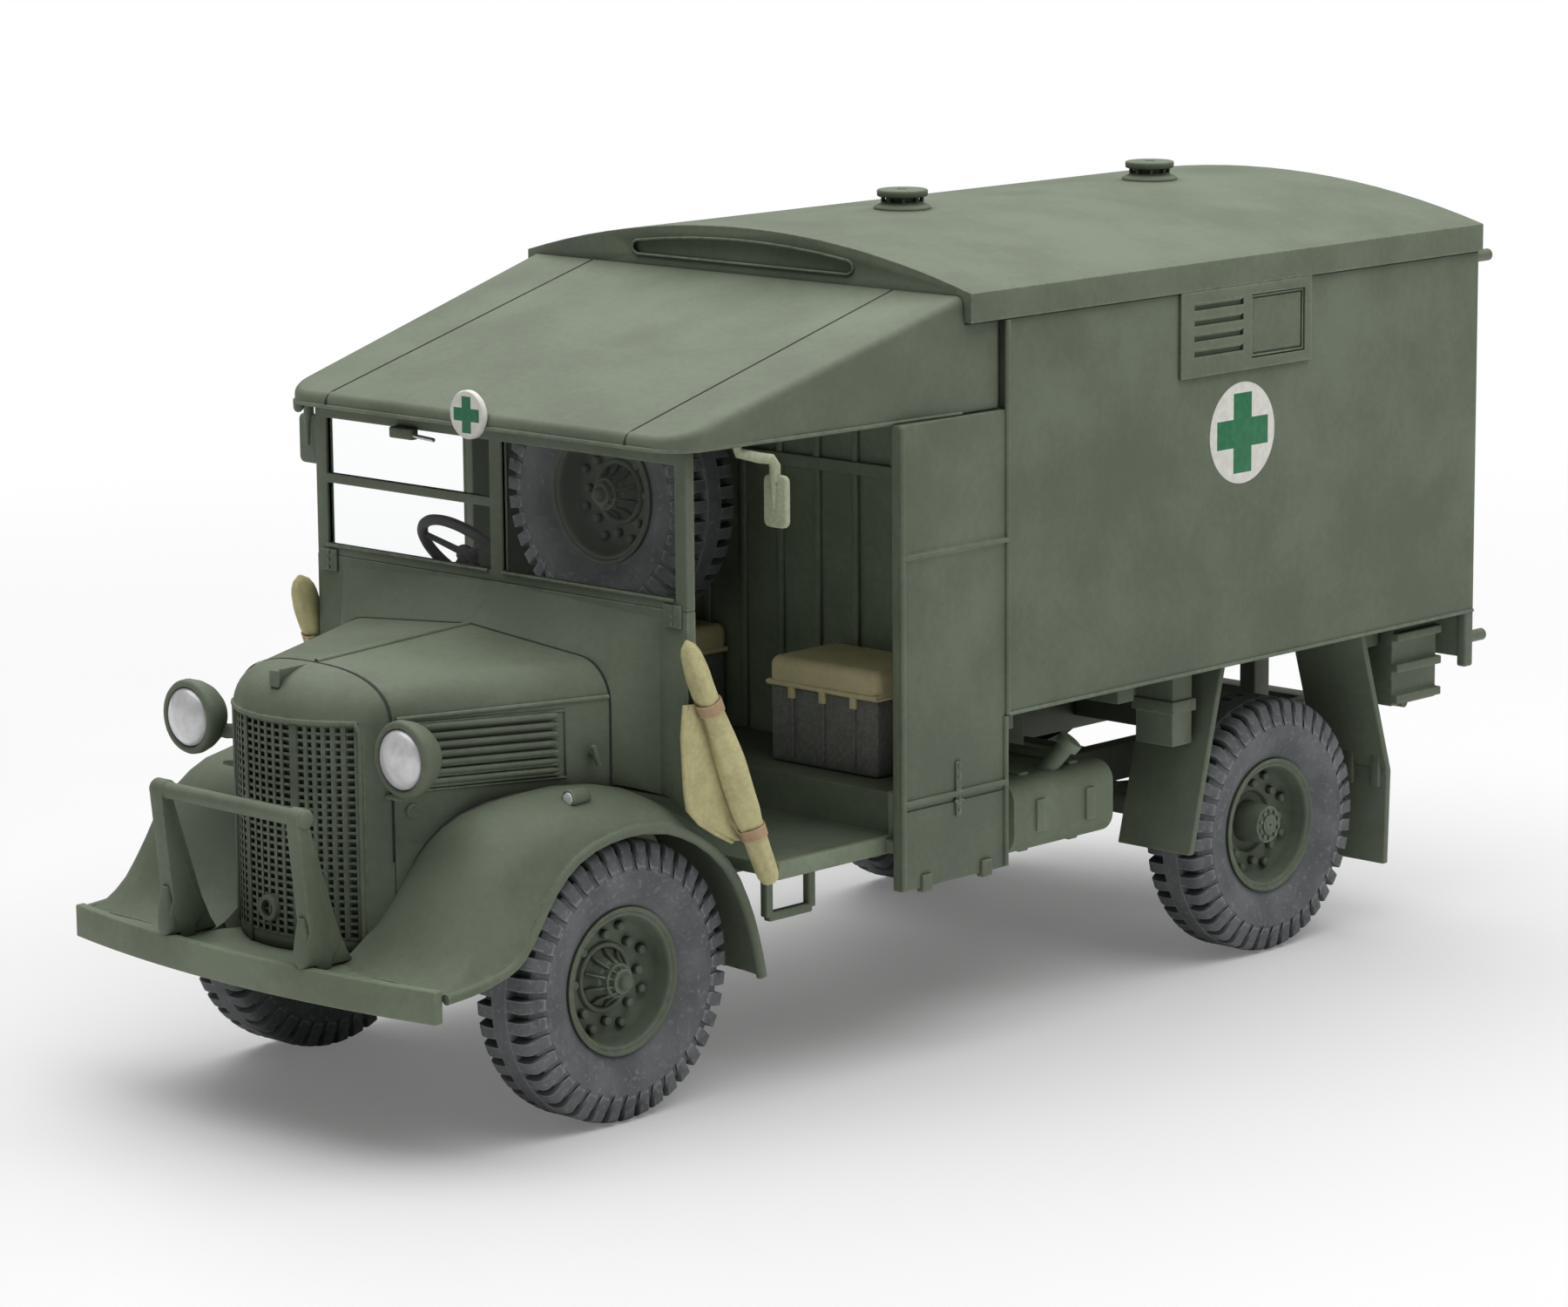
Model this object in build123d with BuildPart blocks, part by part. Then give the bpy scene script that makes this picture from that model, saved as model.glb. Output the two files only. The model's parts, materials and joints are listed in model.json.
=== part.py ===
from build123d import *
import os
from math import cos, radians, sin, sqrt

# Scale model of a forward-bonnet military ambulance truck, millimetres.
# The front is -Y, the vehicle's left is +X and +Z is up. The origin is on
# the ground at the middle of the overall length and width.
os.makedirs("parts", exist_ok=True)

# Chassis and running gear
wheelbase = 70.9
tyre_radius = 10.34
tyre_half_width = 2.8
rim_radius = 5.45
front_wheel_x = 15.83
rear_wheel_x = 18.26
spindle_radius = 1.2
running_clearance = 0.05
hub_face_gap = 0.3
hub_inner = 1.6
hub_bore_end = 1.7
rail_outer_x = 9.0
rail_width = 1.6
rail_bottom_z = 13.3
rail_height = 3.0
spring_width = 1.4
spring_leaf = 0.9
spring_half_span = 8.0
seat_gap = 0.05
cut_overlap = 0.01

# Bumper, guard and nose
front_reach = 21.7
bumper_setback = 0.1
bumper_half_width = 19.5
bumper_sweep = 1.95
bumper_top_z = 13.57
bumper_height = 2.4
shelf_drop = 0.37
sheet = 0.8
guard_x = 7.4
guard_plate = 1.3
guard_boss_z = 24.2
guard_boss_radius = 0.75
grille_top_z = 29.3
nose_half_width = 8.1
bonnet_front_top_z = 33.2
bonnet_rear_half_width = 14.65
bonnet_rear_top_z = 33.9
crank_hole_radius = 0.55
lamp_x = 11.5
lamp_z = 28
lamp_radius = 2.6

# Cab
scuttle_half_width = 19.8
scuttle_top_z = 36.65
cab_floor_top_z = 17.3
floor_thickness = 1.0
floor_side_gap = 1.1
canopy_edge_z = 48.3
canopy_front_z = 49.3
canopy_rear_z = 57.1
canopy_front_half_width = 21.2
canopy_corner = 3.0
seat_lid_top_z = 28.7
platform_top_z = 20.5

# Ambulance body
cab_length = 35.45
body_half_width = 23.3
body_length = 58.5
body_bottom_z = 25.1
gutter_z = 55.1
roof_lip = 0.3
roof_side_z = 57.3
roof_crown_z = 60.6
roof_overhang = 4.3
wall = 0.9
skirt_length = 11.8
skirt_bottom_z = 13.5
door_stop_reach = 3.2

# Stations along the truck, from the front axle
overall_length = front_reach + cab_length + body_length + door_stop_reach
front_axle_y = front_reach - overall_length / 2
rear_axle_y = front_axle_y + wheelbase
bumper_face_y = front_axle_y - front_reach + bumper_setback
wing_front_y = front_axle_y - 18.8
nose_face_y = front_axle_y - 17.65
bonnet_front_y = front_axle_y - 12.8
scuttle_y = front_axle_y + 2.4
screen_y = front_axle_y + 5.85
canopy_front_y = front_axle_y + 2.85
body_front_y = front_axle_y + cab_length
body_rear_y = body_front_y + body_length
roof_front_y = body_front_y - roof_overhang
skirt_front_y = body_front_y - skirt_length

rail_top_z = rail_bottom_z + rail_height
rail_inner_x = rail_outer_x - rail_width
shelf_z = bumper_top_z - shelf_drop
panel_y = screen_y - sheet
inner_x = body_half_width - wall
roof_half_width = body_half_width + roof_lip
canopy_rear_half_width = inner_x + 0.5
cab_floor_half_width = inner_x - floor_side_gap
floor_bottom_z = cab_floor_top_z - floor_thickness
nose_depth = bonnet_front_y - nose_face_y
nose_radius = (nose_half_width**2 + nose_depth**2) / (2 * nose_depth)
nose_centre_y = nose_face_y + nose_radius


def save(piece, label):
    piece.part.label = label
    export_step(piece.part, f"parts/{label}.step")


def slab(x_span, y_span, z_span, mode=Mode.ADD):
    spans = (x_span, y_span, z_span)
    centre = [(low + high) / 2 for low, high in spans]
    with Locations(tuple(centre)):
        Box(*[high - low for low, high in spans], mode=mode)


def about(middle, half):
    return (middle - half, middle + half)


def rod(start, end, radius, mode=Mode.ADD):
    start, end = Vector(*start), Vector(*end)
    along = (Align.CENTER, Align.CENTER, Align.MIN)
    with Locations(Plane(origin=start, z_dir=end - start)):
        Cylinder(radius, (end - start).length, align=along, mode=mode)


# Front bumper: a swept plate with a sunk shelf that carries the nose and the wings
bumper_bottom_z = bumper_top_z - bumper_height
bumper_end_y = bumper_face_y + bumper_sweep
shelf_thickness = 0.5
shelf_half_width = bumper_half_width - 0.7
shelf_side_y = wing_front_y + 1.9
shelf_rear_y = bonnet_front_y - 1.2
tongue_half_width = nose_half_width + 1.0
bumper_left = (bumper_half_width, bumper_end_y)
bumper_right = (-bumper_half_width, bumper_end_y)
bumper_middle = (0, bumper_face_y)
with BuildPart() as front_bumper:
    with BuildSketch(Plane.XY.offset(bumper_bottom_z)):
        with BuildLine():
            ThreePointArc(bumper_right, bumper_middle, bumper_left)
            Line(bumper_left, (bumper_half_width, bumper_end_y + sheet))
            ThreePointArc(
                (bumper_half_width, bumper_end_y + sheet),
                (0, bumper_face_y + sheet),
                (-bumper_half_width, bumper_end_y + sheet),
            )
            Line((-bumper_half_width, bumper_end_y + sheet), bumper_right)
        make_face()
    extrude(amount=bumper_height)
    with BuildSketch(Plane.XY.offset(shelf_z - shelf_thickness)):
        with BuildLine():
            ThreePointArc(bumper_right, bumper_middle, bumper_left)
            Polyline(
                bumper_left,
                (bumper_half_width, shelf_side_y),
                (tongue_half_width, shelf_side_y),
                (tongue_half_width, shelf_rear_y),
                (-tongue_half_width, shelf_rear_y),
                (-tongue_half_width, shelf_side_y),
                (-bumper_half_width, shelf_side_y),
                bumper_right,
            )
        make_face()
        with Locations((0, bumper_face_y)):
            Rectangle(2 * shelf_half_width, 4 * nose_radius, mode=Mode.INTERSECT)
    extrude(amount=shelf_thickness)
save(front_bumper, "front_bumper")

# Frame: two rails with lower horns that reach the bumper
horn_bottom_z = bumper_bottom_z + 0.15
horn_front_y = bumper_face_y + sheet + bumper_sweep * (rail_outer_x / bumper_half_width) ** 2 + 0.02
horn_rear_y = bonnet_front_y + 4.0
with BuildPart() as frame_rails:
    for side in (-1, 1):
        x_span = sorted((side * rail_inner_x, side * rail_outer_x))
        slab(x_span, (bonnet_front_y + 0.1, body_rear_y - wall), (rail_bottom_z, rail_top_z))
        slab(x_span, (horn_front_y, horn_rear_y), (horn_bottom_z, shelf_z - shelf_thickness))
        slab(x_span, (bonnet_front_y + 0.1, horn_rear_y), (horn_bottom_z, rail_bottom_z))
save(frame_rails, "frame_rails")

# Cross-members between the rails, the last with a towing eye
cross_member_depth = 1.8
cross_member_width = 2.0
cross_member_stations = [body_front_y - 8.0, body_front_y + 12.0, rear_axle_y - 9.0, rear_axle_y + 9.0]
engine_front_y = front_axle_y - 10.6
engine_length = 12.4
engine_bottom_z = 14.3
engine_rear_y = engine_front_y + engine_length
engine_bearer_y = engine_front_y + 3.0
tow_eye_radius = 0.6
tow_plate = 1.2
tow_plate_half_width = 2.0
tow_plate_length = 2.4
tow_eye_reach = 1.3
tow_y = body_rear_y - wall
with BuildPart() as cross_members:
    between_rails = (-rail_inner_x, rail_inner_x)
    for station in cross_member_stations:
        y_span = about(station, cross_member_width / 2)
        slab(between_rails, y_span, (rail_top_z - cross_member_depth, rail_top_z))
    slab(between_rails, about(engine_bearer_y, cross_member_width / 2), (rail_bottom_z, engine_bottom_z))
    slab(between_rails, (tow_y - cross_member_width, tow_y), (rail_bottom_z, rail_top_z))
    tow_z = (rail_bottom_z + rail_top_z) / 2
    slab(about(0, tow_plate_half_width), (tow_y, tow_y + tow_plate_length), about(tow_z, tow_plate / 2))
    with Locations((0, tow_y + tow_eye_reach, tow_z)):
        Hole(tow_eye_radius)
save(cross_members, "cross_members")

# Body bearers: a beam under the floor on a post from each rail
bearer_depth = 2.0
bearer_side_gap = 2.0
bearer_stations = [body_front_y + 3.0, rear_axle_y - 18.2, body_rear_y - 10.05]
with BuildPart() as body_bearers:
    for station in bearer_stations:
        y_span = about(station, cross_member_width / 2)
        slab(about(0, inner_x - bearer_side_gap), y_span, (body_bottom_z - bearer_depth, body_bottom_z))
        for side in (-1, 1):
            x_span = sorted((side * rail_inner_x, side * rail_outer_x))
            slab(x_span, y_span, (rail_top_z, body_bottom_z - bearer_depth))
save(body_bearers, "body_bearers")

# Front axle: dropped beam, knuckles and wheel spindles
knuckle_width = 1.3
knuckle_half_depth = 1.2
knuckle_half_height = 1.7
beam_half_depth = 0.8
beam_under = 0.9
beam_over = 0.7
front_knuckle_x = front_wheel_x - hub_inner - hub_face_gap
spindle_end = hub_bore_end - hub_face_gap
with BuildPart() as front_axle:
    beam_half = front_knuckle_x - knuckle_width
    beam_span = (tyre_radius - beam_under, tyre_radius + beam_over)
    slab(about(0, beam_half), about(front_axle_y, beam_half_depth), beam_span)
    for side in (-1, 1):
        x_span = sorted((side * beam_half, side * front_knuckle_x))
        slab(x_span, about(front_axle_y, knuckle_half_depth), about(tyre_radius, knuckle_half_height))
        rod((side * beam_half, front_axle_y, tyre_radius),
            (side * (front_wheel_x + spindle_end), front_axle_y, tyre_radius), spindle_radius)
save(front_axle, "front_axle")

# Rear axle: tube, banjo casing, pinion nose, brake drums and wheel spindles
drum_radius = 3.6
drum_width = 1.2
banjo_radius = 3.0
pinion_radius = 1.2
pinion_y = rear_axle_y - 4.4
rear_drum_x = rear_wheel_x - hub_inner - hub_face_gap
rear_tube_radius = 1.3
banjo_edge_x = sqrt(banjo_radius**2 - rear_tube_radius**2)
rear_axle_profile = [
    # out from the middle, radius
    (banjo_edge_x, rear_tube_radius),
    (rear_drum_x - drum_width, rear_tube_radius),
    (rear_drum_x - drum_width, drum_radius),
    (rear_drum_x, drum_radius),
    (rear_drum_x, spindle_radius),
    (rear_wheel_x + spindle_end, spindle_radius),
    (rear_wheel_x + spindle_end, 0),
]
with BuildPart() as rear_axle:
    with BuildSketch(Plane.XZ.offset(-rear_axle_y)):
        with BuildLine():
            right_half = [(x, tyre_radius + radius) for x, radius in rear_axle_profile]
            left_half = [(-x, z) for x, z in right_half]
            ThreePointArc(left_half[0], (0, tyre_radius + banjo_radius), right_half[0])
            Polyline(*right_half, *reversed(left_half))
        make_face()
    revolve(axis=Axis((0, rear_axle_y, tyre_radius), (1, 0, 0)))
    rod((0, rear_axle_y - banjo_radius / 2, tyre_radius), (0, pinion_y, tyre_radius), pinion_radius)
save(rear_axle, "rear_axle")

# Leaf springs: curved packs whose ends meet the rails and whose middles sit on the axles
spring_x = rail_outer_x - rail_width / 2
springs = [
    # label, axle station, height of the seat on the axle
    ("front_springs", front_axle_y, tyre_radius + beam_over),
    ("rear_springs", rear_axle_y, tyre_radius + rear_tube_radius),
]
for label, station, seat_z in springs:
    with BuildPart() as leaf_springs:
        for side in (-1, 1):
            with BuildSketch(Plane.YZ.offset(side * spring_x - spring_width / 2)):
                with BuildLine():
                    start = (station - spring_half_span, rail_bottom_z)
                    end = (station + spring_half_span, rail_bottom_z)
                    inner_start = (start[0] + spring_leaf, rail_bottom_z)
                    inner_end = (end[0] - spring_leaf, rail_bottom_z)
                    ThreePointArc(start, (station, seat_z), end)
                    Line(end, inner_end)
                    ThreePointArc(inner_end, (station, seat_z + spring_leaf), inner_start)
                    Line(inner_start, start)
                make_face()
            extrude(amount=spring_width)
    save(leaf_springs, label)

# Engine block
engine_half_width = 4.5
engine_top_z = 27.9
with BuildPart() as engine_block:
    slab(about(0, engine_half_width), (engine_front_y, engine_rear_y), (engine_bottom_z, engine_top_z))
save(engine_block, "engine_block")

# Gearbox behind the engine, and the shaft to the rear axle
gearbox_length = 11.5
gearbox_half_width = 3.0
gearbox_drop = 1.6
shaft_radius = 0.8
shaft_front_z = rail_bottom_z + 0.2
gearbox_rear_y = engine_rear_y + gearbox_length
with BuildPart() as drive_line:
    gearbox_bottom_z = rail_bottom_z - gearbox_drop
    slab(about(0, gearbox_half_width), (engine_rear_y, gearbox_rear_y), (gearbox_bottom_z, floor_bottom_z))
    rod((0, gearbox_rear_y - shaft_radius, shaft_front_z), (0, pinion_y, tyre_radius), shaft_radius)
    slab(about(0, 2 * shaft_radius), (pinion_y, pinion_y + 2 * shaft_radius),
         about(tyre_radius, 3 * shaft_radius), mode=Mode.SUBTRACT)
save(drive_line, "drive_line")

# Exhaust on the right-hand rail
silencer_radius = 1.4
silencer_gap = 0.4
silencer_x = rail_outer_x + silencer_radius + silencer_gap
silencer_front_y = body_front_y - 9.0
silencer_length = 16.0
pipe_radius = 0.6
pipe_front_y = silencer_front_y - 9.0
pipe_rear_y = rear_axle_y - 16.0
bracket_inset = 3.0
bracket_half_width = 0.5
exhaust_z = rail_bottom_z + 0.8
with BuildPart() as exhaust:
    silencer_rear_y = silencer_front_y + silencer_length
    rod((-silencer_x, silencer_front_y, exhaust_z),
        (-silencer_x, silencer_rear_y, exhaust_z), silencer_radius)
    rod((-silencer_x, pipe_front_y, exhaust_z), (-silencer_x, pipe_rear_y, exhaust_z), pipe_radius)
    for station in (silencer_front_y + bracket_inset, silencer_rear_y - bracket_inset):
        slab((-silencer_x, -rail_outer_x), about(station, bracket_half_width), about(exhaust_z, pipe_radius))
save(exhaust, "exhaust")

# Fuel tank on the left-hand rail, with its straps and slanted filler
tank_outer_x = body_half_width - 3.0
tank_front_y = body_front_y + 4.2
tank_length = 11.65
tank_bottom_z = 13
tank_top_z = 18.7
tank_round = 1.6
strap_proud = 0.25
strap_half_width = 0.5
filler_radius = 0.7
filler_cap_radius = 1.0
filler_cap_depth = 0.6
filler_cap_rise = 0.15
filler_inset = 2.6
filler_run = Vector(2.0, 1.4, 3.0)
with BuildPart() as fuel_tank:
    tank_rear_y = tank_front_y + tank_length
    slab((rail_outer_x, tank_outer_x), (tank_front_y, tank_rear_y), (tank_bottom_z, tank_top_z))
    fillet(fuel_tank.edges().filter_by(Axis.Y).group_by(Axis.X)[-1], tank_round)
    for share in (0.25, 0.75):
        y_span = about(tank_front_y + share * tank_length, strap_half_width)
        slab((rail_outer_x + sheet, tank_outer_x - tank_round), y_span,
             (tank_bottom_z - strap_proud, tank_top_z + strap_proud))
        slab((tank_outer_x - tank_round, tank_outer_x + strap_proud), y_span,
             (tank_bottom_z + tank_round, tank_top_z - tank_round))
    filler_foot = Vector(tank_outer_x - filler_inset, tank_front_y + tank_length / 2, tank_top_z - sheet)
    filler_top = filler_foot + filler_run
    filler_lean = filler_run.normalized()
    rod(filler_foot, filler_top, filler_radius)
    cap_foot = filler_top - filler_lean * filler_cap_depth
    cap_top = filler_top + filler_lean * filler_cap_rise
    rod(cap_foot, cap_top, filler_cap_radius)
save(fuel_tank, "fuel_tank")

# Strapped box hung under the left side, ahead of the rear wheel
box_outer_x = body_half_width - 2.5
box_width = 3.8
box_front_y = rear_axle_y - 13.0
box_depth = 2.4
box_bottom_z = 18.8
with BuildPart() as strapped_box:
    box_x = (box_outer_x - box_width, box_outer_x)
    slab(box_x, (box_front_y, box_front_y + box_depth), (box_bottom_z, body_bottom_z))
    strap_z = (box_bottom_z + body_bottom_z) / 2
    slab((box_x[0] - strap_proud, box_x[1] + strap_proud),
         (box_front_y - strap_proud, box_front_y + box_depth + strap_proud), about(strap_z, strap_half_width))
save(strapped_box, "strapped_box")

# Rear mudguards: a leading flap and a trailing flap behind each rear wheel
flap = 0.6
flap_outer_x = body_half_width - 1.3
flap_inner_x = flap_outer_x - 7.4
leading_flap = [
    # back from the axle, height
    (-8.4, body_bottom_z),
    (-12.3, 10.1),
]
trailing_flap = [
    # back from the axle, height
    (9.4, body_bottom_z),
    (13.2, 12.9),
    (12.9, 5.1),
]
for side, label in ((1, "rear_mudguard_left"), (-1, "rear_mudguard_right")):
    with BuildPart() as rear_mudguard:
        for run in (leading_flap, trailing_flap):
            front_edge = [(rear_axle_y + y, z) for y, z in run]
            back_edge = [(y + flap, z) for y, z in reversed(front_edge)]
            low_x = min(side * flap_inner_x, side * flap_outer_x)
            with BuildSketch(Plane.YZ.offset(low_x)):
                with BuildLine():
                    Polyline(*front_edge, *back_edge, close=True)
                make_face()
            extrude(amount=flap_outer_x - flap_inner_x)
    save(rear_mudguard, label)

# Stowage racks under the tail
rack_front_y = body_rear_y - 8.85
rack_length = 6.0
rack_outer_x = body_half_width - 1.7
rack_width = 4.1
rack_bottom_z = 18.1
rack_rail_proud = 0.6
rack_rail_half = 0.35
rack_rail_heights = (18.7, 21.3, 23.9)
with BuildPart() as rear_racks:
    for side in (-1, 1):
        y_span = (rack_front_y, rack_front_y + rack_length)
        x_span = sorted((side * (rack_outer_x - rack_width), side * rack_outer_x))
        slab(x_span, y_span, (rack_bottom_z, body_bottom_z))
        x_span = sorted((side * (rack_outer_x - rack_rail_proud), side * (rack_outer_x + rack_rail_proud)))
        for rail_z in rack_rail_heights:
            slab(x_span, y_span, about(rail_z, rack_rail_half))
save(rear_racks, "rear_racks")

# Front wings: a rounded block, hollowed over the wheel and opened at the arch
wing_outer_x = 19.6
wing_inner_x = 12.5
wing_start_x = 6.0
wing_round = 2.4
wing_crown_z = 24.2
wing_crown_y = front_axle_y - 2.65
wing_crown_rear_y = front_axle_y - 0.55
wing_front_radius = 14.0
wing_rear_radius = 14.3
wing_front_angle = 45.0
wing_tip_z = 8.8
arch_crown_y = front_axle_y - 1.55
arch_crown_z = 21.1
arch_half = 8.6
arch_front_y = front_axle_y - 15.4
arch_front_z = bumper_top_z - 0.3
arch_front_fall = 2.3
arch_rear_y = front_axle_y + 13.0
arch_rear_fall = 2.9
turn_y = wing_crown_y - wing_front_radius * sin(radians(wing_front_angle))
turn_z = wing_crown_z - wing_front_radius * (1 - cos(radians(wing_front_angle)))

# The bonnet and the nose share their sections with what meets them
shoulder_fall = 1.2
bonnet_sections = [
    # station, half width, shoulder height, crown height, shoulder radius
    (bonnet_front_y, nose_half_width, bonnet_front_top_z - shoulder_fall, bonnet_front_top_z, 2.4),
    (scuttle_y, bonnet_rear_half_width, bonnet_rear_top_z - shoulder_fall, bonnet_rear_top_z, 3.2),
]
cowl_sections = [
    bonnet_sections[1],
    (panel_y, bonnet_rear_half_width + 2.25, scuttle_top_z - 0.75, scuttle_top_z - 0.05, 0.5),
]
bonnet_bottom_z = 2 * tyre_radius + 0.22
cowl_bottom_z = wing_crown_z - 2.0


def section_face(section, inset, bottom_z):
    # One section across the bonnet: straight sides, rounded shoulders and a low ridge
    station, half, shoulder, crown, radius = section
    with BuildSketch(Plane.XZ.offset(-station)) as outline:
        with BuildLine():
            Polyline(
                (-half + inset, bottom_z),
                (-half + inset, shoulder - inset),
                (0, crown - inset),
                (half - inset, shoulder - inset),
                (half - inset, bottom_z),
                close=True,
            )
        make_face()
        corners = outline.vertices().sort_by(Axis.Y)
        fillet(corners[2:4], radius)
    return outline.sketch


# The nose is the crossing of its plan, its front section and its side profile
dome_radius = 3.7
nose_solids = []
for inset in (0, sheet):
    with BuildPart() as nose_space:
        with BuildSketch(Plane.XY.offset(shelf_z)):
            with Locations((0, nose_centre_y)):
                Circle(nose_radius - inset)
            with Locations((0, bonnet_front_y - nose_depth / 2)):
                Rectangle(2 * nose_radius, nose_depth, mode=Mode.INTERSECT)
        extrude(amount=bonnet_front_top_z)
        extrude(section_face(bonnet_sections[0], inset, shelf_z), amount=nose_depth, mode=Mode.INTERSECT)
        with BuildSketch(Plane.YZ.offset(-nose_half_width)):
            face_y = nose_face_y + inset
            dome_top = (face_y + dome_radius, bonnet_front_top_z - inset)
            dome_foot = (face_y, bonnet_front_top_z - dome_radius)
            with BuildLine():
                Polyline(
                    dome_foot,
                    (face_y, shelf_z),
                    (bonnet_front_y, shelf_z),
                    (bonnet_front_y, bonnet_front_top_z - inset),
                    dome_top,
                )
                RadiusArc(dome_top, dome_foot, -sqrt(dome_radius * (dome_radius - inset) + inset * inset / 2))
            make_face()
        extrude(amount=2 * nose_half_width, mode=Mode.INTERSECT)
    nose_solids.append(nose_space.part)

grille_half_width = 6.3
cap_radius = 0.55
cap_back = 1.9
cap_lean = 0.6
cap_depth = 1.2
cap_rise = 0.1
with BuildPart() as radiator_shell:
    add(nose_solids[0])
    add(nose_solids[1], mode=Mode.SUBTRACT)
    slab(about(0, grille_half_width), (nose_face_y - sheet, bonnet_front_y), (shelf_z, grille_top_z),
         mode=Mode.SUBTRACT)
    rod((0, nose_face_y + cap_back, bonnet_front_top_z - cap_depth),
        (0, nose_face_y + cap_back - cap_lean, bonnet_front_top_z + cap_rise), cap_radius)
save(radiator_shell, "radiator_shell")

# Grille: a curved plate with square openings in a centre panel and two side panels
grille_thickness = 0.8
grille_base = 1.0
grille_head = 0.5
panel_edge_x = 1.95
panel_bar = 0.5
mesh_bar = 0.25
mesh_depth = 0.35
mesh_rows = 16
mesh_panels = [
    # low edge, high edge, columns
    (-grille_half_width + panel_bar, -panel_edge_x - panel_bar / 2, 4),
    (-panel_edge_x + panel_bar / 2, panel_edge_x - panel_bar / 2, 4),
    (panel_edge_x + panel_bar / 2, grille_half_width - panel_bar, 4),
]
mesh_low_z = shelf_z + grille_base
mesh_pitch = (grille_top_z - grille_head - mesh_low_z) / mesh_rows
mesh_planes = [Plane.XY.offset(mesh_low_z + row * mesh_pitch) for row in range(mesh_rows)]
crank_boss_radius = 1.0
crank_boss_length = 2.0
crank_hole_z = bumper_top_z + 2.5
with BuildPart() as radiator_grille:
    with BuildSketch(Plane.XY.offset(shelf_z)):
        with Locations((0, nose_centre_y)):
            Circle(nose_radius)
            Circle(nose_radius - grille_thickness, mode=Mode.SUBTRACT)
        with Locations((0, nose_face_y)):
            Rectangle(2 * grille_half_width, nose_radius, mode=Mode.INTERSECT)
    extrude(amount=grille_top_z - shelf_z)
    with BuildSketch(*mesh_planes):
        for low, high, columns in mesh_panels:
            pitch = (high - low) / columns
            for column in range(columns):
                with Locations((low + (column + 0.5) * pitch, nose_face_y)):
                    Rectangle(pitch - mesh_bar, nose_radius)
        with Locations((0, nose_centre_y)):
            Circle(nose_radius - mesh_depth, mode=Mode.SUBTRACT)
    extrude(amount=mesh_pitch - mesh_bar, mode=Mode.SUBTRACT)
    crank_axis_end = nose_face_y + crank_boss_length
    rod((0, nose_face_y, crank_hole_z), (0, crank_axis_end, crank_hole_z), crank_boss_radius)
    rod((0, nose_face_y - sheet, crank_hole_z), (0, crank_axis_end + sheet, crank_hole_z), crank_hole_radius,
        mode=Mode.SUBTRACT)
save(radiator_grille, "radiator_grille")

# Bonnet: a tapered shell between the nose and the scuttle, with louvre ribs on its sides
louvre_rows = 7
louvre_low_z = 25.1
louvre_pitch = 0.72
louvre_height = 0.3
louvre_proud = 0.25
louvre_front = 2.0
louvre_length = 10.4
bonnet_solids = []
for inset in (0, sheet):
    with BuildPart() as bonnet_space:
        loft([section_face(section, inset, bonnet_bottom_z) for section in bonnet_sections], ruled=True)
    bonnet_solids.append(bonnet_space.part)
bonnet_side = Vector(bonnet_rear_half_width - nose_half_width, scuttle_y - bonnet_front_y, 0).normalized()
with BuildPart() as bonnet:
    add(bonnet_solids[0])
    add(bonnet_solids[1], mode=Mode.SUBTRACT)
    for side in (-1, 1):
        along = Vector(side * bonnet_side.X, bonnet_side.Y, 0)
        for row in range(louvre_rows):
            corner = Vector(side * nose_half_width, bonnet_front_y, louvre_low_z + row * louvre_pitch)
            middle = corner + along * (louvre_front + louvre_length / 2)
            with Locations(Plane(origin=middle, x_dir=along, z_dir=(0, 0, 1))):
                Box(louvre_length, 2 * louvre_proud, louvre_height)
save(bonnet, "bonnet")

wing_forms = []
for skin in (0, sheet):
    with BuildPart() as wing_form:
        with BuildSketch(Plane.YZ.offset(wing_start_x)):
            with BuildLine():
                front_centre = (wing_crown_y, wing_crown_z - wing_front_radius)
                rear_centre = (wing_crown_rear_y, wing_crown_z - wing_rear_radius)
                front_arc = CenterArc(front_centre, wing_front_radius - skin, 90, wing_front_angle)
                rear_arc = CenterArc(rear_centre, wing_rear_radius - skin, 0, 90)
                slope_top = front_arc @ 1
                slope_foot = (slope_top.X - slope_top.Y, 0)
                Line(front_arc @ 0, rear_arc @ 1)
                Polyline(slope_top, slope_foot, ((rear_arc @ 0).X, 0), rear_arc @ 0)
            make_face()
        extrude(amount=wing_outer_x - skin - wing_start_x)
        if skin == 0:
            outer_edges = wing_form.faces().sort_by(Axis.X)[-1].edges()
            fillet([edge for edge in outer_edges if edge.center().Z > 0.01], wing_round)
            slab((0, wing_outer_x), (wing_front_y - wing_crown_z, wing_front_y), (0, wing_crown_z),
                 mode=Mode.SUBTRACT)
            slab((0, wing_outer_x), (wing_front_y, wing_crown_y), (0, shelf_z), mode=Mode.SUBTRACT)
            slab((0, wing_outer_x), (wing_crown_y, wing_crown_y + 2 * wing_rear_radius), (0, wing_tip_z),
                 mode=Mode.SUBTRACT)
            add(bonnet_solids[0], mode=Mode.SUBTRACT)
            add(nose_solids[0], mode=Mode.SUBTRACT)
            slab((0, wing_inner_x), (scuttle_y - cut_overlap, screen_y + wing_rear_radius),
                 (0, wing_crown_z + sheet), mode=Mode.SUBTRACT)
    wing_forms.append(wing_form.part)

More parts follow.
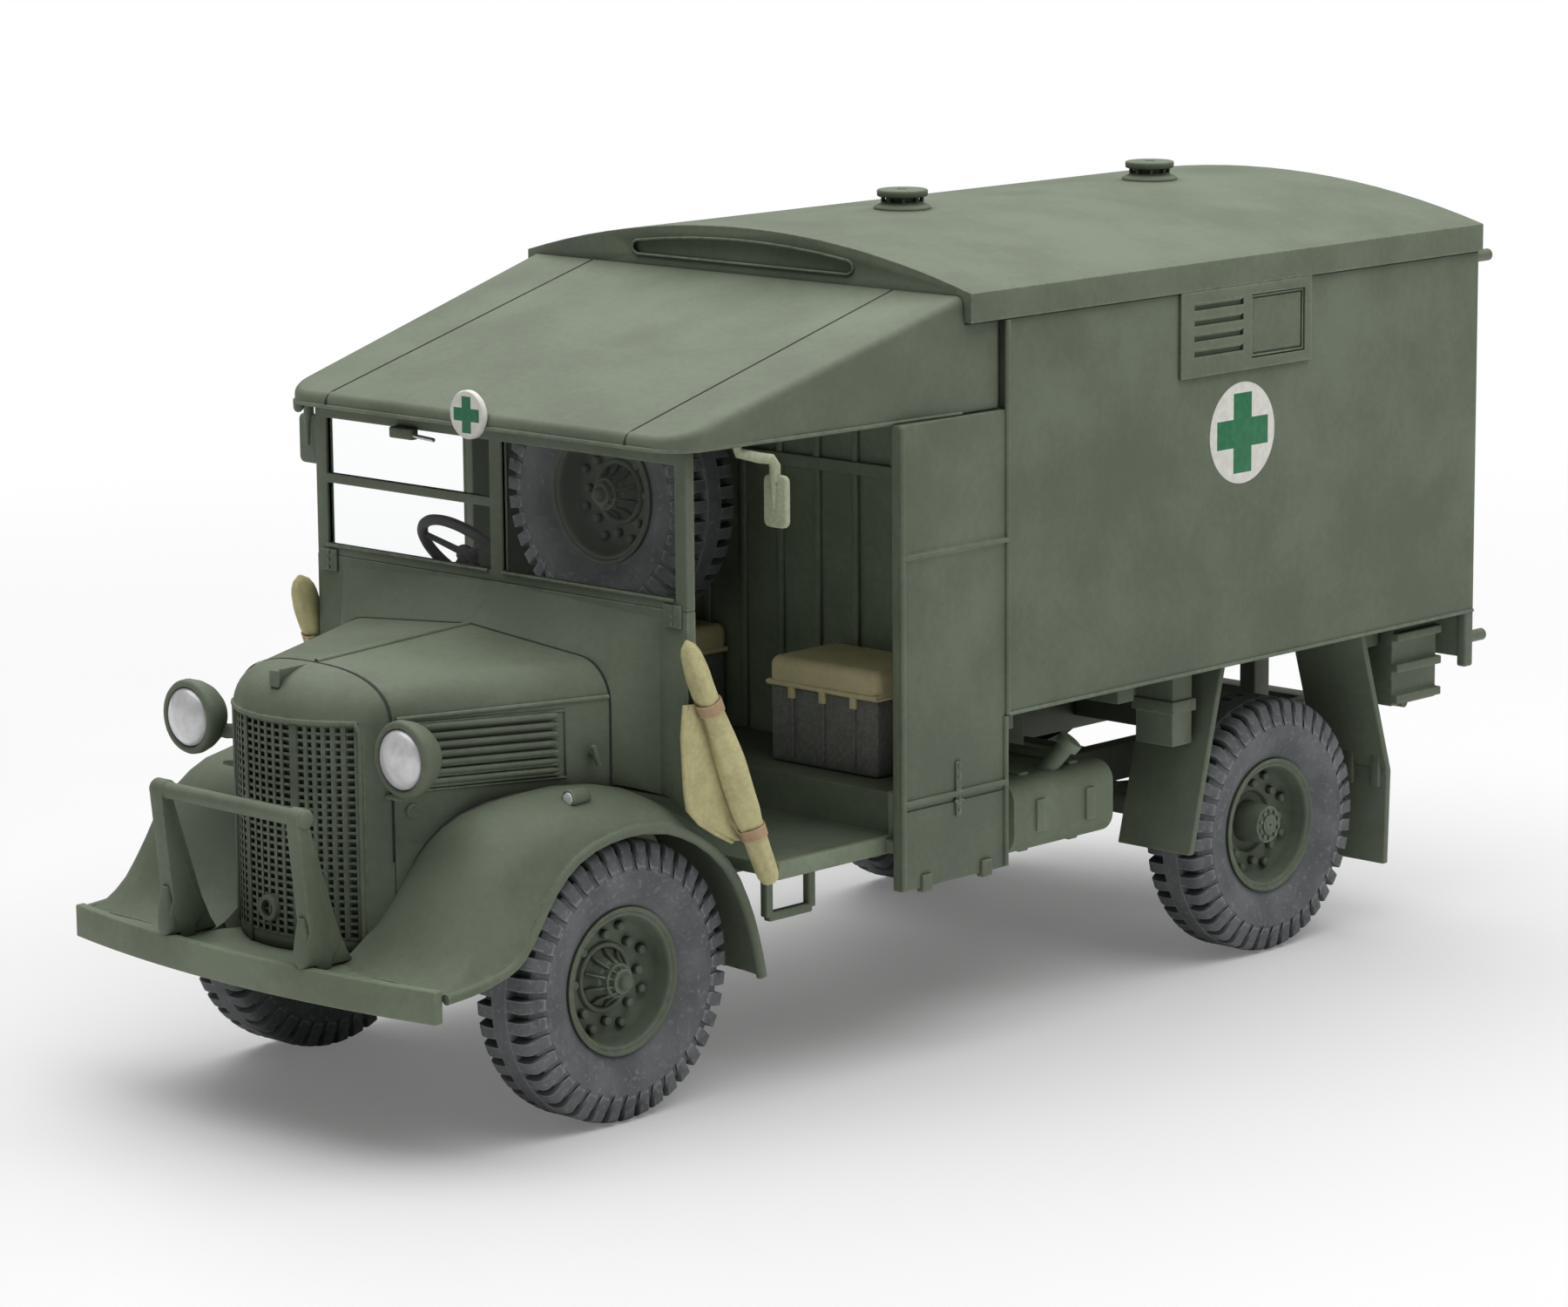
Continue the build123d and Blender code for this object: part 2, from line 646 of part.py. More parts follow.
with BuildPart() as wing_left:
    add(wing_forms[0])
    add(wing_forms[1], mode=Mode.SUBTRACT)
    with BuildSketch(Plane.YZ.offset(wing_outer_x - 2 * sheet)):
        with BuildLine():
            arch_front = (arch_front_y, arch_front_z)
            arch_crown = (arch_crown_y, arch_crown_z)
            arch_rear = (arch_rear_y, wing_tip_z)
            ThreePointArc(arch_front, (arch_crown_y - arch_half, arch_crown_z - arch_front_fall), arch_crown)
            ThreePointArc(arch_crown, (arch_crown_y + arch_half, arch_crown_z - arch_rear_fall), arch_rear)
            Polyline(arch_rear, (arch_rear_y, 0), (arch_front_y, 0), arch_front)
        make_face()
    extrude(amount=4 * sheet, mode=Mode.SUBTRACT)
save(wing_left, "wing_left")
with BuildPart() as wing_right:
    mirror(wing_left.part, about=Plane.YZ)
save(wing_right, "wing_right")

# Bumper guard: two curved uprights with round bosses, and a bar between them
guard_y = front_axle_y - front_reach + guard_boss_radius
guard_bar_radius = 0.6
guard_neck_rear = 0.45
guard_neck_drop = 0.9
guard_waist = (1.75, -6.3)
guard_toe = 0.2
guard_toe_height = 2.4
guard_ankle = 0.15
guard_heel = 0.9
lip_rear_y = bumper_face_y + sheet + bumper_sweep * (guard_x / bumper_half_width) ** 2 + 0.25
wing_nose_z = turn_z - (turn_y - wing_front_y)
with BuildPart() as bumper_guard:
    for side in (-1, 1):
        with BuildSketch(Plane.YZ.offset(side * guard_x - guard_plate / 2)):
            foot_z = bumper_top_z + seat_gap
            neck_front = (guard_y - guard_boss_radius, guard_boss_z)
            neck_rear = (guard_y + guard_neck_rear, guard_boss_z - guard_neck_drop)
            waist = (guard_y + guard_waist[0], guard_boss_z + guard_waist[1])
            heel_y = wing_front_y - seat_gap + guard_heel
            heel = (heel_y, wing_nose_z + guard_heel + 2 * seat_gap)
            ankle = (guard_y + guard_ankle, foot_z + guard_toe_height)
            toe = (guard_y - guard_toe, foot_z + guard_toe_height / 2)
            sole = (guard_y + guard_ankle, foot_z)
            with BuildLine():
                ThreePointArc(neck_rear, waist, heel)
                Polyline(
                    heel,
                    (wing_front_y - seat_gap, wing_nose_z + 2 * seat_gap),
                    (wing_front_y - seat_gap, shelf_z),
                    (lip_rear_y, shelf_z),
                    (lip_rear_y, foot_z),
                    sole,
                )
                ThreePointArc(sole, toe, ankle)
                Polyline(ankle, neck_front, (guard_y, guard_boss_z), neck_rear)
            make_face()
            with Locations((guard_y, guard_boss_z)):
                Circle(guard_boss_radius)
        extrude(amount=guard_plate)
    rod((-guard_x, guard_y, guard_boss_z), (guard_x, guard_y, guard_boss_z), guard_bar_radius)
save(bumper_guard, "bumper_guard")

# Headlamps on arms from the nose, and their lenses
lamp_face_y = front_axle_y - 15.2
lamp_depth = 3.4
lamp_bulge = 0.5
bezel = 0.5
lens_gap = 0.1
arm_radius = 0.5
arm_y = bonnet_front_y - arm_radius
arm_z = lamp_z - 0.6
with BuildPart() as headlamps:
    for side in (-1, 1):
        rim_foot = (lamp_face_y + bezel, lamp_z + lamp_radius)
        lamp_tail = (lamp_face_y + lamp_depth, lamp_z)
        with BuildSketch(Plane.YZ.offset(side * lamp_x)):
            with BuildLine():
                Polyline(
                    lamp_tail,
                    (lamp_face_y + bezel, lamp_z),
                    (lamp_face_y + bezel, lamp_z + lamp_radius - bezel),
                    (lamp_face_y, lamp_z + lamp_radius - bezel),
                    (lamp_face_y, lamp_z + lamp_radius),
                    rim_foot,
                )
                RadiusArc(rim_foot, lamp_tail, lamp_radius + lamp_bulge)
            make_face()
        revolve(axis=Axis((side * lamp_x, lamp_face_y, lamp_z), (0, 1, 0)))
        rod((side * (nose_half_width + seat_gap), arm_y, arm_z),
            (side * (lamp_x - sheet), arm_y, arm_z), arm_radius)
save(headlamps, "headlamps")

with BuildPart() as headlamp_lenses:
    for side in (-1, 1):
        rod((side * lamp_x, lamp_face_y + lens_gap, lamp_z), (side * lamp_x, lamp_face_y + bezel, lamp_z),
            lamp_radius - bezel)
save(headlamp_lenses, "headlamp_lenses")

# Side lamps on the crowns of the wings
side_lamp_x = wing_outer_x - 3.0
side_lamp_y = wing_crown_y - 0.9
side_lamp_radius = 0.6
side_lamp_half = 1.0
side_lamp_foot = 0.4
with BuildPart() as side_lamps:
    for side in (-1, 1):
        lamp_axis_z = wing_crown_z + side_lamp_radius + 0.1
        rod((side * side_lamp_x, side_lamp_y - side_lamp_half, lamp_axis_z),
            (side * side_lamp_x, side_lamp_y + side_lamp_half, lamp_axis_z), side_lamp_radius)
        slab(about(side * side_lamp_x, side_lamp_foot), (side_lamp_y, side_lamp_y + side_lamp_half),
             (wing_crown_z, lamp_axis_z))
save(side_lamps, "side_lamps")

# Scuttle: a front panel on the wings, and the cowl that runs up to it from the bonnet
with BuildPart() as scuttle:
    loft([section_face(section, 0, cowl_bottom_z) for section in cowl_sections], ruled=True)
    slab(about(0, scuttle_half_width), (panel_y, screen_y), (cowl_bottom_z, scuttle_top_z))
    slab(about(0, wing_inner_x), (panel_y, screen_y), (floor_bottom_z, wing_crown_z))
    add(wing_forms[0], mode=Mode.SUBTRACT)
    mirror(wing_forms[0], about=Plane.YZ, mode=Mode.SUBTRACT)
save(scuttle, "scuttle")

# Windscreen frame: outer posts, centre post, rails, and a split pane on the driver's side
post = 1.2
screen_sill_z = scuttle_top_z + 0.8
screen_head_z = canopy_edge_z - 1.2
canopy_slope = (canopy_rear_z - canopy_front_z) / (roof_front_y - canopy_front_y)
canopy_under_z = canopy_front_z + canopy_slope * (panel_y - canopy_front_y) - sheet
screen_top_z = canopy_under_z - 0.15
split_rail_z = 42.5
split_rail_half = 0.35
pane_recess = 0.25
panes = [
    # low x, high x, low z, high z
    (-scuttle_half_width + post, -post / 2, screen_sill_z, split_rail_z - split_rail_half),
    (-scuttle_half_width + post, -post / 2, split_rail_z + split_rail_half, screen_head_z),
    (post / 2, scuttle_half_width - post, screen_sill_z, screen_head_z),
]
with BuildPart() as windscreen_frame:
    slab(about(0, scuttle_half_width), (panel_y, screen_y), (scuttle_top_z, screen_top_z))
    for low_x, high_x, low_z, high_z in panes:
        slab((low_x, high_x), (panel_y, screen_y), (low_z, high_z), mode=Mode.SUBTRACT)
save(windscreen_frame, "windscreen_frame")
with BuildPart() as windscreen_glass:
    for low_x, high_x, low_z, high_z in panes:
        slab((low_x, high_x), (panel_y + pane_recess, screen_y - pane_recess), (low_z, high_z))
save(windscreen_glass, "windscreen_glass")

# Canopy: a sloping flat-topped hood with rounded front corners, from the visor edge to the roof's front
canopy_top_round = 0.7
cheek_gap = 0.5
canopy_forms = []
for inset, low_z in ((0, canopy_edge_z), (sheet, canopy_edge_z - sheet)):
    with BuildPart() as canopy_form:
        front_half = canopy_front_half_width - inset
        rear_half = canopy_rear_half_width - inset
        with BuildSketch(Plane.XY.offset(low_z)) as canopy_plan:
            with BuildLine():
                Polyline(
                    (-front_half, canopy_front_y + inset),
                    (front_half, canopy_front_y + inset),
                    (rear_half, roof_front_y),
                    (-rear_half, roof_front_y),
                    close=True,
                )
            make_face()
            fillet(canopy_plan.vertices().sort_by(Axis.Y)[:2], canopy_corner - inset)
        extrude(amount=canopy_rear_z - low_z)
        with BuildSketch(Plane.YZ.offset(-canopy_rear_half_width)):
            with BuildLine():
                Polyline(
                    (canopy_front_y, low_z),
                    (canopy_front_y, canopy_front_z - inset),
                    (roof_front_y, canopy_rear_z - inset),
                    (roof_front_y, low_z),
                    close=True,
                )
            make_face()
        extrude(amount=2 * canopy_rear_half_width, mode=Mode.INTERSECT)
    canopy_forms.append(canopy_form.part)
with BuildPart() as canopy:
    add(canopy_forms[0])
    top_edges = canopy.faces().sort_by(Axis.Z)[-1].edges()
    fillet([edge for edge in top_edges if edge.center().Y < roof_front_y - sheet], canopy_top_round)
    add(canopy_forms[1], mode=Mode.SUBTRACT)
    for side in (-1, 1):
        slab(sorted((side * (canopy_rear_half_width - sheet), side * canopy_rear_half_width)),
             (roof_front_y, body_front_y - cheek_gap), (canopy_edge_z, gutter_z - seat_gap))
save(canopy, "canopy")

# Blank disc on the visor's edge
sign_radius = 1.8
sign_thickness = 0.5
with BuildPart() as front_disc:
    sign_z = canopy_front_z
    rod((0, canopy_front_y - sign_thickness, sign_z), (0, canopy_front_y, sign_z), sign_radius)
save(front_disc, "front_disc")

# Cab floor with its stirrup steps
step_front_y = front_axle_y + 13.4
step_length = 4.5
step_x = cab_floor_half_width - 2.0
step_drop = 3.4
step_wire = 0.35
platform_length = 10.4
wing_rear_z = floor_bottom_z - wing_crown_z + wing_rear_radius
floor_front_y = wing_crown_rear_y + sqrt(wing_rear_radius**2 - wing_rear_z**2) + seat_gap
with BuildPart() as cab_floor:
    floor_span = (floor_bottom_z, cab_floor_top_z)
    slab(about(0, cab_floor_half_width), (floor_front_y, body_front_y), floor_span)
    slab(about(0, wing_inner_x - 2 * seat_gap), (screen_y, floor_front_y), floor_span)
    slab(about(0, inner_x), (skirt_front_y, body_front_y), floor_span)
    slab(about(0, cab_floor_half_width), (body_front_y - platform_length, body_front_y),
         (cab_floor_top_z, platform_top_z))
    for side in (-1, 1):
        x_span = about(side * step_x, step_wire)
        low_z = floor_bottom_z - step_drop
        for y in (step_front_y, step_front_y + step_length):
            slab(x_span, about(y, step_wire), (low_z, floor_bottom_z))
        slab(x_span, (step_front_y, step_front_y + step_length), about(low_z, step_wire))
save(cab_floor, "cab_floor")

# Seat boxes, their padded lids, and the driver's steering wheel on the right
seat_inner_x = 6.0
seat_width = 11.0
seat_front_y = body_front_y - 7.6
seat_length = 7.3
seat_lid = 2.2
lid_overhang = 0.2
lid_round = 0.8
with BuildPart() as seat_boxes:
    for side in (-1, 1):
        slab(sorted((side * seat_inner_x, side * (seat_inner_x + seat_width))),
             (seat_front_y, seat_front_y + seat_length), (platform_top_z, seat_lid_top_z - seat_lid))
save(seat_boxes, "seat_boxes")
with BuildPart() as seat_lids:
    for side in (-1, 1):
        slab(about(side * (seat_inner_x + seat_width / 2), seat_width / 2 + lid_overhang),
             (seat_front_y - lid_overhang, seat_front_y + seat_length + lid_overhang),
             (seat_lid_top_z - seat_lid, seat_lid_top_z))
    fillet(seat_lids.edges().filter_by(Axis.Z), lid_round)
    fillet(seat_lids.edges().group_by(Axis.Z)[-1], lid_round)
save(seat_lids, "seat_lids")

steering_x = -9.3
steering_radius = 4.0
steering_grip = 0.4
steering_hub_radius = 0.9
spoke_width = 0.5
column_radius = 0.45
steering_hub = Vector(steering_x, screen_y + 4.7, scuttle_top_z + 1.25)
column_foot = Vector(steering_x, screen_y + seat_gap, 27.9)
with BuildPart() as steering_wheel:
    column_lean = steering_hub - column_foot
    wheel_plane = Plane(origin=steering_hub, z_dir=column_lean)
    with Locations(wheel_plane):
        Torus(steering_radius, steering_grip)
        Cylinder(steering_hub_radius, 2 * steering_grip)
        with PolarLocations(steering_radius / 2, 3):
            Box(steering_radius, spoke_width, steering_grip)
    rod(column_foot + column_lean.normalized() * column_radius, steering_hub, column_radius)
save(steering_wheel, "steering_wheel")

# Rolled canvas doors tied at the scuttle's outer corners, with their loose triangular flaps
roll_radius = 0.95
roll_top = (scuttle_half_width + roll_radius, panel_y - 1.0, 34.9)
roll_end = (cab_floor_half_width + roll_radius + seat_gap, floor_front_y - 1.4, floor_bottom_z + 0.2)
roll_flap = 0.5
roll_flap_x = wing_outer_x + 0.4
flap_outline = [
    # back from the scuttle's panel, height
    (-1.0, 29.5),
    (-0.7, 22.6),
    (0.1, 21.8),
    (3.6, 19.5),
    (2.2, 25.4),
    (0.9, 28.9),
]
with BuildPart() as canvas_rolls:
    for side in (-1, 1):
        rod((side * roll_top[0], roll_top[1], roll_top[2]),
            (side * roll_end[0], roll_end[1], roll_end[2]), roll_radius)
        low_x = min(side * roll_flap_x, side * (roll_flap_x + roll_flap))
        with BuildSketch(Plane.YZ.offset(low_x)):
            with BuildLine():
                Polyline(*[(panel_y + back, z) for back, z in flap_outline], close=True)
            make_face()
        extrude(amount=roll_flap)
save(canvas_rolls, "canvas_rolls")

# Mirrors on bent arms from the canopy's edges
mirror_x = 22.3
mirror_half_width = 1.1
mirror_thickness = 0.6
mirror_height = 4.0
mirror_arm = 0.4
mirror_arm_rise = 1.2
mirror_arm_run = 2.2
mirrors_at = [
    # side, station of the head, top of the head
    (1, front_axle_y + 11.5, 46.1),
    (-1, front_axle_y + 6.6, 46.9),
]
with BuildPart() as mirrors:
    for side, station, top_z in mirrors_at:
        slab(about(side * mirror_x, mirror_half_width), (station, station + mirror_thickness),
             (top_z - mirror_height, top_z))
        arm_y = station + mirror_thickness / 2
        bend_z = min(top_z + mirror_arm_rise, canopy_edge_z - mirror_arm - seat_gap)
        arm_low = (side * mirror_x, arm_y, top_z - mirror_arm)
        arm_bend = (side * mirror_x, arm_y, bend_z)
        arm_root = (side * (canopy_front_half_width - mirror_arm), arm_y - mirror_arm_run, bend_z)
        rod(arm_low, arm_bend, mirror_arm)
        rod(arm_bend, arm_root, mirror_arm)
        rod(arm_root, (arm_root[0], arm_root[1], canopy_edge_z), mirror_arm)
        for corner in (arm_bend, arm_root):
            with Locations(corner):
                Sphere(mirror_arm)
save(mirrors, "mirrors")

# Side panels between the cab opening and the body, with a moulding along them
band_z = 38.5
band_half = 0.2
band_proud = 0.25
with BuildPart() as side_panel_left:
    slab((inner_x, body_half_width), (skirt_front_y, body_front_y), (skirt_bottom_z, canopy_edge_z))
    slab((body_half_width, body_half_width + band_proud), (skirt_front_y, body_front_y),
         about(band_z, band_half))
save(side_panel_left, "side_panel_left")
with BuildPart() as side_panel_right:
    mirror(side_panel_left.part, about=Plane.YZ)
save(side_panel_right, "side_panel_right")

# Body: floor, sides with their rear posts, bulkhead and rear doors
post_foot_z = 20.5
post_depth = 1.1
with BuildPart() as body_floor:
    slab(about(0, inner_x), (body_front_y + wall, body_rear_y - wall),
         (body_bottom_z, body_bottom_z + floor_thickness))
save(body_floor, "body_floor")
with BuildPart() as body_side_left:
    slab((inner_x, body_half_width), (body_front_y, body_rear_y), (body_bottom_z, gutter_z))
    slab((inner_x, body_half_width), (body_rear_y - post_depth, body_rear_y), (post_foot_z, body_bottom_z))
save(body_side_left, "body_side_left")
with BuildPart() as body_side_right:
    mirror(body_side_left.part, about=Plane.YZ)
save(body_side_right, "body_side_right")
with BuildPart() as bulkhead:
    slab(about(0, inner_x), (body_front_y, body_front_y + wall), (floor_bottom_z, gutter_z))
save(bulkhead, "bulkhead")

door_gap = 0.1
door_bottom_z = 21.3
door_window_half = 4.0
door_window_low_z = 41.9
door_window_high_z = 48.9
door_stop_radius = 0.5
door_stop_heights = (door_bottom_z + 1.25, gutter_z - 0.7)
with BuildPart() as rear_door_left:
    door_span = (body_rear_y - wall, body_rear_y)
    slab((door_gap / 2, inner_x), door_span, (door_bottom_z, gutter_z))
    slab(about(inner_x / 2, door_window_half), door_span, (door_window_low_z, door_window_high_z),
         mode=Mode.SUBTRACT)
    for stop_z in door_stop_heights:
        stop_x = inner_x - door_stop_radius - door_gap
        rod((stop_x, body_rear_y - wall / 2, stop_z),
            (stop_x, body_rear_y + door_stop_reach, stop_z), door_stop_radius)
save(rear_door_left, "rear_door_left")
with BuildPart() as rear_door_right:
    mirror(rear_door_left.part, about=Plane.YZ)
save(rear_door_right, "rear_door_right")

# Spare wheel, upright on a bracket from the bulkhead, on the right of the cab
spare_gap = 1.96
spare_x = -(inner_x - tyre_radius - spare_gap)
spare_z = 39.6
spare_front_y = body_front_y - 10.4
spare_dish = 0.8
spare_hub_radius = 1.6
spare_sides = 26
tyre_bead = tyre_half_width - 0.9
tread_radius = tyre_radius - 1.1
tyre_sections = [
    # out from the tyre's middle, radius
    (-tyre_bead, 6.2),
    (-tyre_half_width, 7.4),
    (-tyre_half_width + 0.15, tread_radius),
    (tyre_half_width - 0.15, tread_radius),
    (tyre_half_width, 7.4),
    (tyre_bead, 6.2),
]
with BuildPart() as spare_wheel:
    spare_middle_y = spare_front_y + tyre_half_width
    for out, radius in tyre_sections:
        spare_radius = tyre_radius if radius == tread_radius else radius
        with BuildSketch(Plane.XZ.offset(-spare_middle_y - out)):
            with Locations((spare_x, spare_z)):
                RegularPolygon(spare_radius, spare_sides)
    loft(ruled=True)
    dish_y = spare_middle_y - tyre_bead + spare_dish
    rod((spare_x, spare_front_y - 1, spare_z), (spare_x, dish_y, spare_z), rim_radius, mode=Mode.SUBTRACT)
    rod((spare_x, dish_y - spare_dish / 2, spare_z), (spare_x, body_front_y, spare_z), spare_hub_radius)
save(spare_wheel, "spare_wheel")

# Roof: an arched shell whose front fascia has a shallow panel, flat below and arched above
roof_rear_y = body_rear_y + 0.1
roof_shell = 1.1
fascia_half = 11.2
fascia_low_z = 57.8
fascia_end = 0.6
fascia_end_z = 58.85
fascia_high_z = 59.6
fascia_depth = 0.3
roof_skins = [
    # inset, front station, mode
    (0, roof_front_y, Mode.ADD),
    (roof_shell, roof_front_y + sheet, Mode.SUBTRACT),
]
with BuildPart() as roof:
    for inset, start_y, mode in roof_skins:
        with BuildSketch(Plane.XZ.offset(-roof_rear_y)):
            with BuildLine():
                half = roof_half_width - inset
                side_z = roof_side_z - inset
                ThreePointArc((-half, side_z), (0, roof_crown_z - inset), (half, side_z))
                Polyline((half, side_z), (half, gutter_z), (-half, gutter_z), (-half, side_z))
            make_face()
        extrude(amount=roof_rear_y - start_y, mode=mode)
    with BuildSketch(Plane.XZ.offset(-roof_front_y)):
        middle_z = (fascia_low_z + fascia_end_z) / 2
        with BuildLine():
            low_right = (-fascia_half, fascia_low_z)
            low_left = (fascia_half, fascia_low_z)
            high_left = (fascia_half, fascia_end_z)
            high_right = (-fascia_half, fascia_end_z)
            Line(low_right, low_left)
            ThreePointArc(low_left, (fascia_half + fascia_end, middle_z), high_left)
            ThreePointArc(high_left, (0, fascia_high_z), high_right)
            ThreePointArc(high_right, (-fascia_half - fascia_end, middle_z), low_right)
        make_face()
    extrude(amount=-fascia_depth, mode=Mode.SUBTRACT)
save(roof, "roof")

# Roof ventilators: flared base, neck and cap
vent_stations = (body_front_y + 14.0, body_front_y + 44.3)
vent_steps = [
    # low height above the roof, high height, radius
    (0.02, 0.42, 2.3),
    (0.02, 1.22, 1.6),
    (1.02, 1.62, 2.0),
]
with BuildPart() as ventilators:
    for station in vent_stations:
        for low, high, radius in vent_steps:
            rod((0, station, roof_crown_z + low), (0, station, roof_crown_z + high), radius)
save(ventilators, "ventilators")

# Side ventilator panels: raised frame, louvres and a sunk shutter, as proud as the roof's lip
vent_front_y = body_front_y + 19.9
vent_length = 16.15
vent_low_z = 48.4
vent_top_z = gutter_z - 0.02
shutter_start = 8.65
shutter_end = 15.3
shutter_border = 0.85
slot_start = 1.6
slot_end = 7.6
slot_rows = 4
slot_pitch = 1.2
slot_height = 0.5
with BuildPart() as side_vents:
    for side in (-1, 1):
        x_span = sorted((side * body_half_width, side * (body_half_width + roof_lip)))
        slab(x_span, (vent_front_y, vent_front_y + vent_length), (vent_low_z, vent_top_z))
        slab(x_span, (vent_front_y + shutter_start, vent_front_y + shutter_end),
             (vent_low_z + shutter_border, vent_top_z - shutter_border), mode=Mode.SUBTRACT)
        for row in range(slot_rows):
            slot_z = vent_low_z + slot_start + slot_pitch * row
            slab(x_span, (vent_front_y + slot_start, vent_front_y + slot_end), (slot_z, slot_z + slot_height),
                 mode=Mode.SUBTRACT)
save(side_vents, "side_vents")

# Wheels: a tyre with two staggered rows of bar lugs, and a dished rim with its hub
wheels = [
    # name, axle station, wheel centre, hub reach
    ("front", front_axle_y, front_wheel_x, 2.7),
    ("rear", rear_axle_y, rear_wheel_x, 2.2),
]
lug_count = 26
lug_root_radius = tread_radius + 0.2
lug_side_inset = 0.3
lug_foot_share = 0.32
lug_tip_share = 0.24
lug_pitch = 360 / lug_count
lug_tip_radius = tyre_radius / cos(radians(lug_tip_share * lug_pitch))
lug_edge = tyre_half_width - lug_side_inset
lug_rows = [
    # low edge from the tyre's middle, high edge, first lug's place in pitches
    (-lug_edge, 0, 0),
    (0, lug_edge, 0.5),
]
lug_corners = [
    # place in pitches, radius
    (-lug_foot_share, lug_root_radius),
    (-lug_tip_share, lug_tip_radius),
    (lug_tip_share, lug_tip_radius),
    (lug_foot_share, lug_root_radius),
]
bore_radius = spindle_radius + running_clearance
rim_lip = 0.65
rim_wall = 0.75
for name, station, centre_x, hub_reach in wheels:
    wheel_axis = Axis((0, station, tyre_radius), (1, 0, 0))
    with BuildPart() as tyre:
        for out, radius in tyre_sections:
            with BuildSketch(Plane.YZ.offset(centre_x + out)):
                with Locations((station, tyre_radius)):
                    RegularPolygon(radius, lug_count)
        loft(ruled=True)
        for low, high, start in lug_rows:
            corners = []
            for lug in range(lug_count):
                for place, radius in lug_corners:
                    angle = radians((lug + start + place) * lug_pitch - 90)
                    corners.append((station + radius * cos(angle), tyre_radius + radius * sin(angle)))
            with BuildSketch(Plane.YZ.offset(centre_x + low)):
                with BuildLine():
                    Polyline(*corners, close=True)
                make_face()
            extrude(amount=high - low)
        rod((centre_x - tyre_radius, station, tyre_radius),
            (centre_x + tyre_radius, station, tyre_radius), rim_radius, mode=Mode.SUBTRACT)
    rim_profile = [
        # outward from the wheel's middle, radius
        (-tyre_bead, rim_radius),
        (tyre_bead + 0.3, rim_radius),
        (tyre_bead + 0.3, rim_radius - rim_lip),
        (1.5, rim_radius - rim_wall),
        (1.1, 3.4),
        (0.8, 2.4),
        (hub_reach - 1.1, 2.2),
        (hub_reach - 0.3, 1.2),
        (hub_reach, 0.8),
        (hub_reach, 0),
        (hub_bore_end, 0),
        (hub_bore_end, bore_radius),
        (-hub_inner, bore_radius),
        (-hub_inner, 2.3),
        (-0.2, 2.6),
        (0.2, 4.0),
        (-0.1, rim_radius - rim_wall),
        (-tyre_bead, rim_radius - rim_wall),
    ]
    with BuildPart() as rim:
        with BuildSketch(Plane.XZ.offset(-station)):
            with BuildLine():
                Polyline(*[(centre_x + out, tyre_radius + radius) for out, radius in rim_profile], close=True)
            make_face()
        revolve(axis=wheel_axis)
    for piece, kind in ((tyre, "tyre"), (rim, "rim")):
        save(piece, f"{kind}_{name}_left")
        with BuildPart() as right_piece:
            mirror(piece.part, about=Plane.YZ)
        save(right_piece, f"{kind}_{name}_right")
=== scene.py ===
import json
import math

import bpy
from mathutils import Matrix, Vector


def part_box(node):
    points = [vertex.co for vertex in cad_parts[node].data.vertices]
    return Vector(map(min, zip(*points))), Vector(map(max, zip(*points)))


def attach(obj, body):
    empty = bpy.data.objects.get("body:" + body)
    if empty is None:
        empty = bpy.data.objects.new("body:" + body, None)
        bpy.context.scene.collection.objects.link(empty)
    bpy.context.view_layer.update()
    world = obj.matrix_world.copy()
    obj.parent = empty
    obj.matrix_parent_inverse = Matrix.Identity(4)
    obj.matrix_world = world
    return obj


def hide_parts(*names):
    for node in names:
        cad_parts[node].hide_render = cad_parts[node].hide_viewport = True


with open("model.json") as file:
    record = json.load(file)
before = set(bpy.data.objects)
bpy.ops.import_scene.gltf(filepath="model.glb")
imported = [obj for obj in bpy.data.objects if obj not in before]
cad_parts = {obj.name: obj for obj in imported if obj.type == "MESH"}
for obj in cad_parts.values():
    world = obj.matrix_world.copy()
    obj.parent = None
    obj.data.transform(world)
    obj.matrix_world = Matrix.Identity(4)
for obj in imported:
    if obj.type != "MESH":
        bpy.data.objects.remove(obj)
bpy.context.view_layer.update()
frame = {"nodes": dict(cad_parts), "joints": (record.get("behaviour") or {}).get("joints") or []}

scene = bpy.context.scene
joints = {joint["name"]: Vector(joint["pos_m"]) for joint in frame["joints"]}
frontHub = joints["front_left_roll"]
rearHub = joints["rear_left_roll"]
mm = 0.001
axleHigh = 9.44  # where the axles lie in the heights below
fullTurn = 2 * math.pi
print("frame loaded:", len(frame["nodes"]), "nodes")


def at(x, back, z):  # millimetres from the centre line and the front axle, and a height
    return Vector((x * mm, frontHub.y + back * mm, frontHub.z + (z - axleHigh) * mm))


# modelling helpers

def alone(piece):
    bpy.ops.object.select_all(action="DESELECT")
    piece.select_set(True)
    bpy.context.view_layer.objects.active = piece


def settle(name):  # names the object just added and moves its place into its mesh
    piece = bpy.context.object
    piece.name = name
    alone(piece)
    bpy.ops.object.transform_apply(location=True, rotation=True, scale=True)
    return piece


def editAll(piece):
    alone(piece)
    bpy.ops.object.mode_set(mode="EDIT")
    bpy.ops.mesh.select_all(action="SELECT")


def editDone(piece, near=0.0):  # merges points nearer than this and turns the normals outward
    bpy.ops.mesh.select_all(action="SELECT")
    if near:
        bpy.ops.mesh.remove_doubles(threshold=near * mm)
    bpy.ops.mesh.normals_make_consistent(inside=False)
    bpy.ops.object.mode_set(mode="OBJECT")
    return piece


def smooth(piece, angle):
    alone(piece)
    bpy.ops.object.shade_smooth_by_angle(angle=math.radians(angle))
    return piece


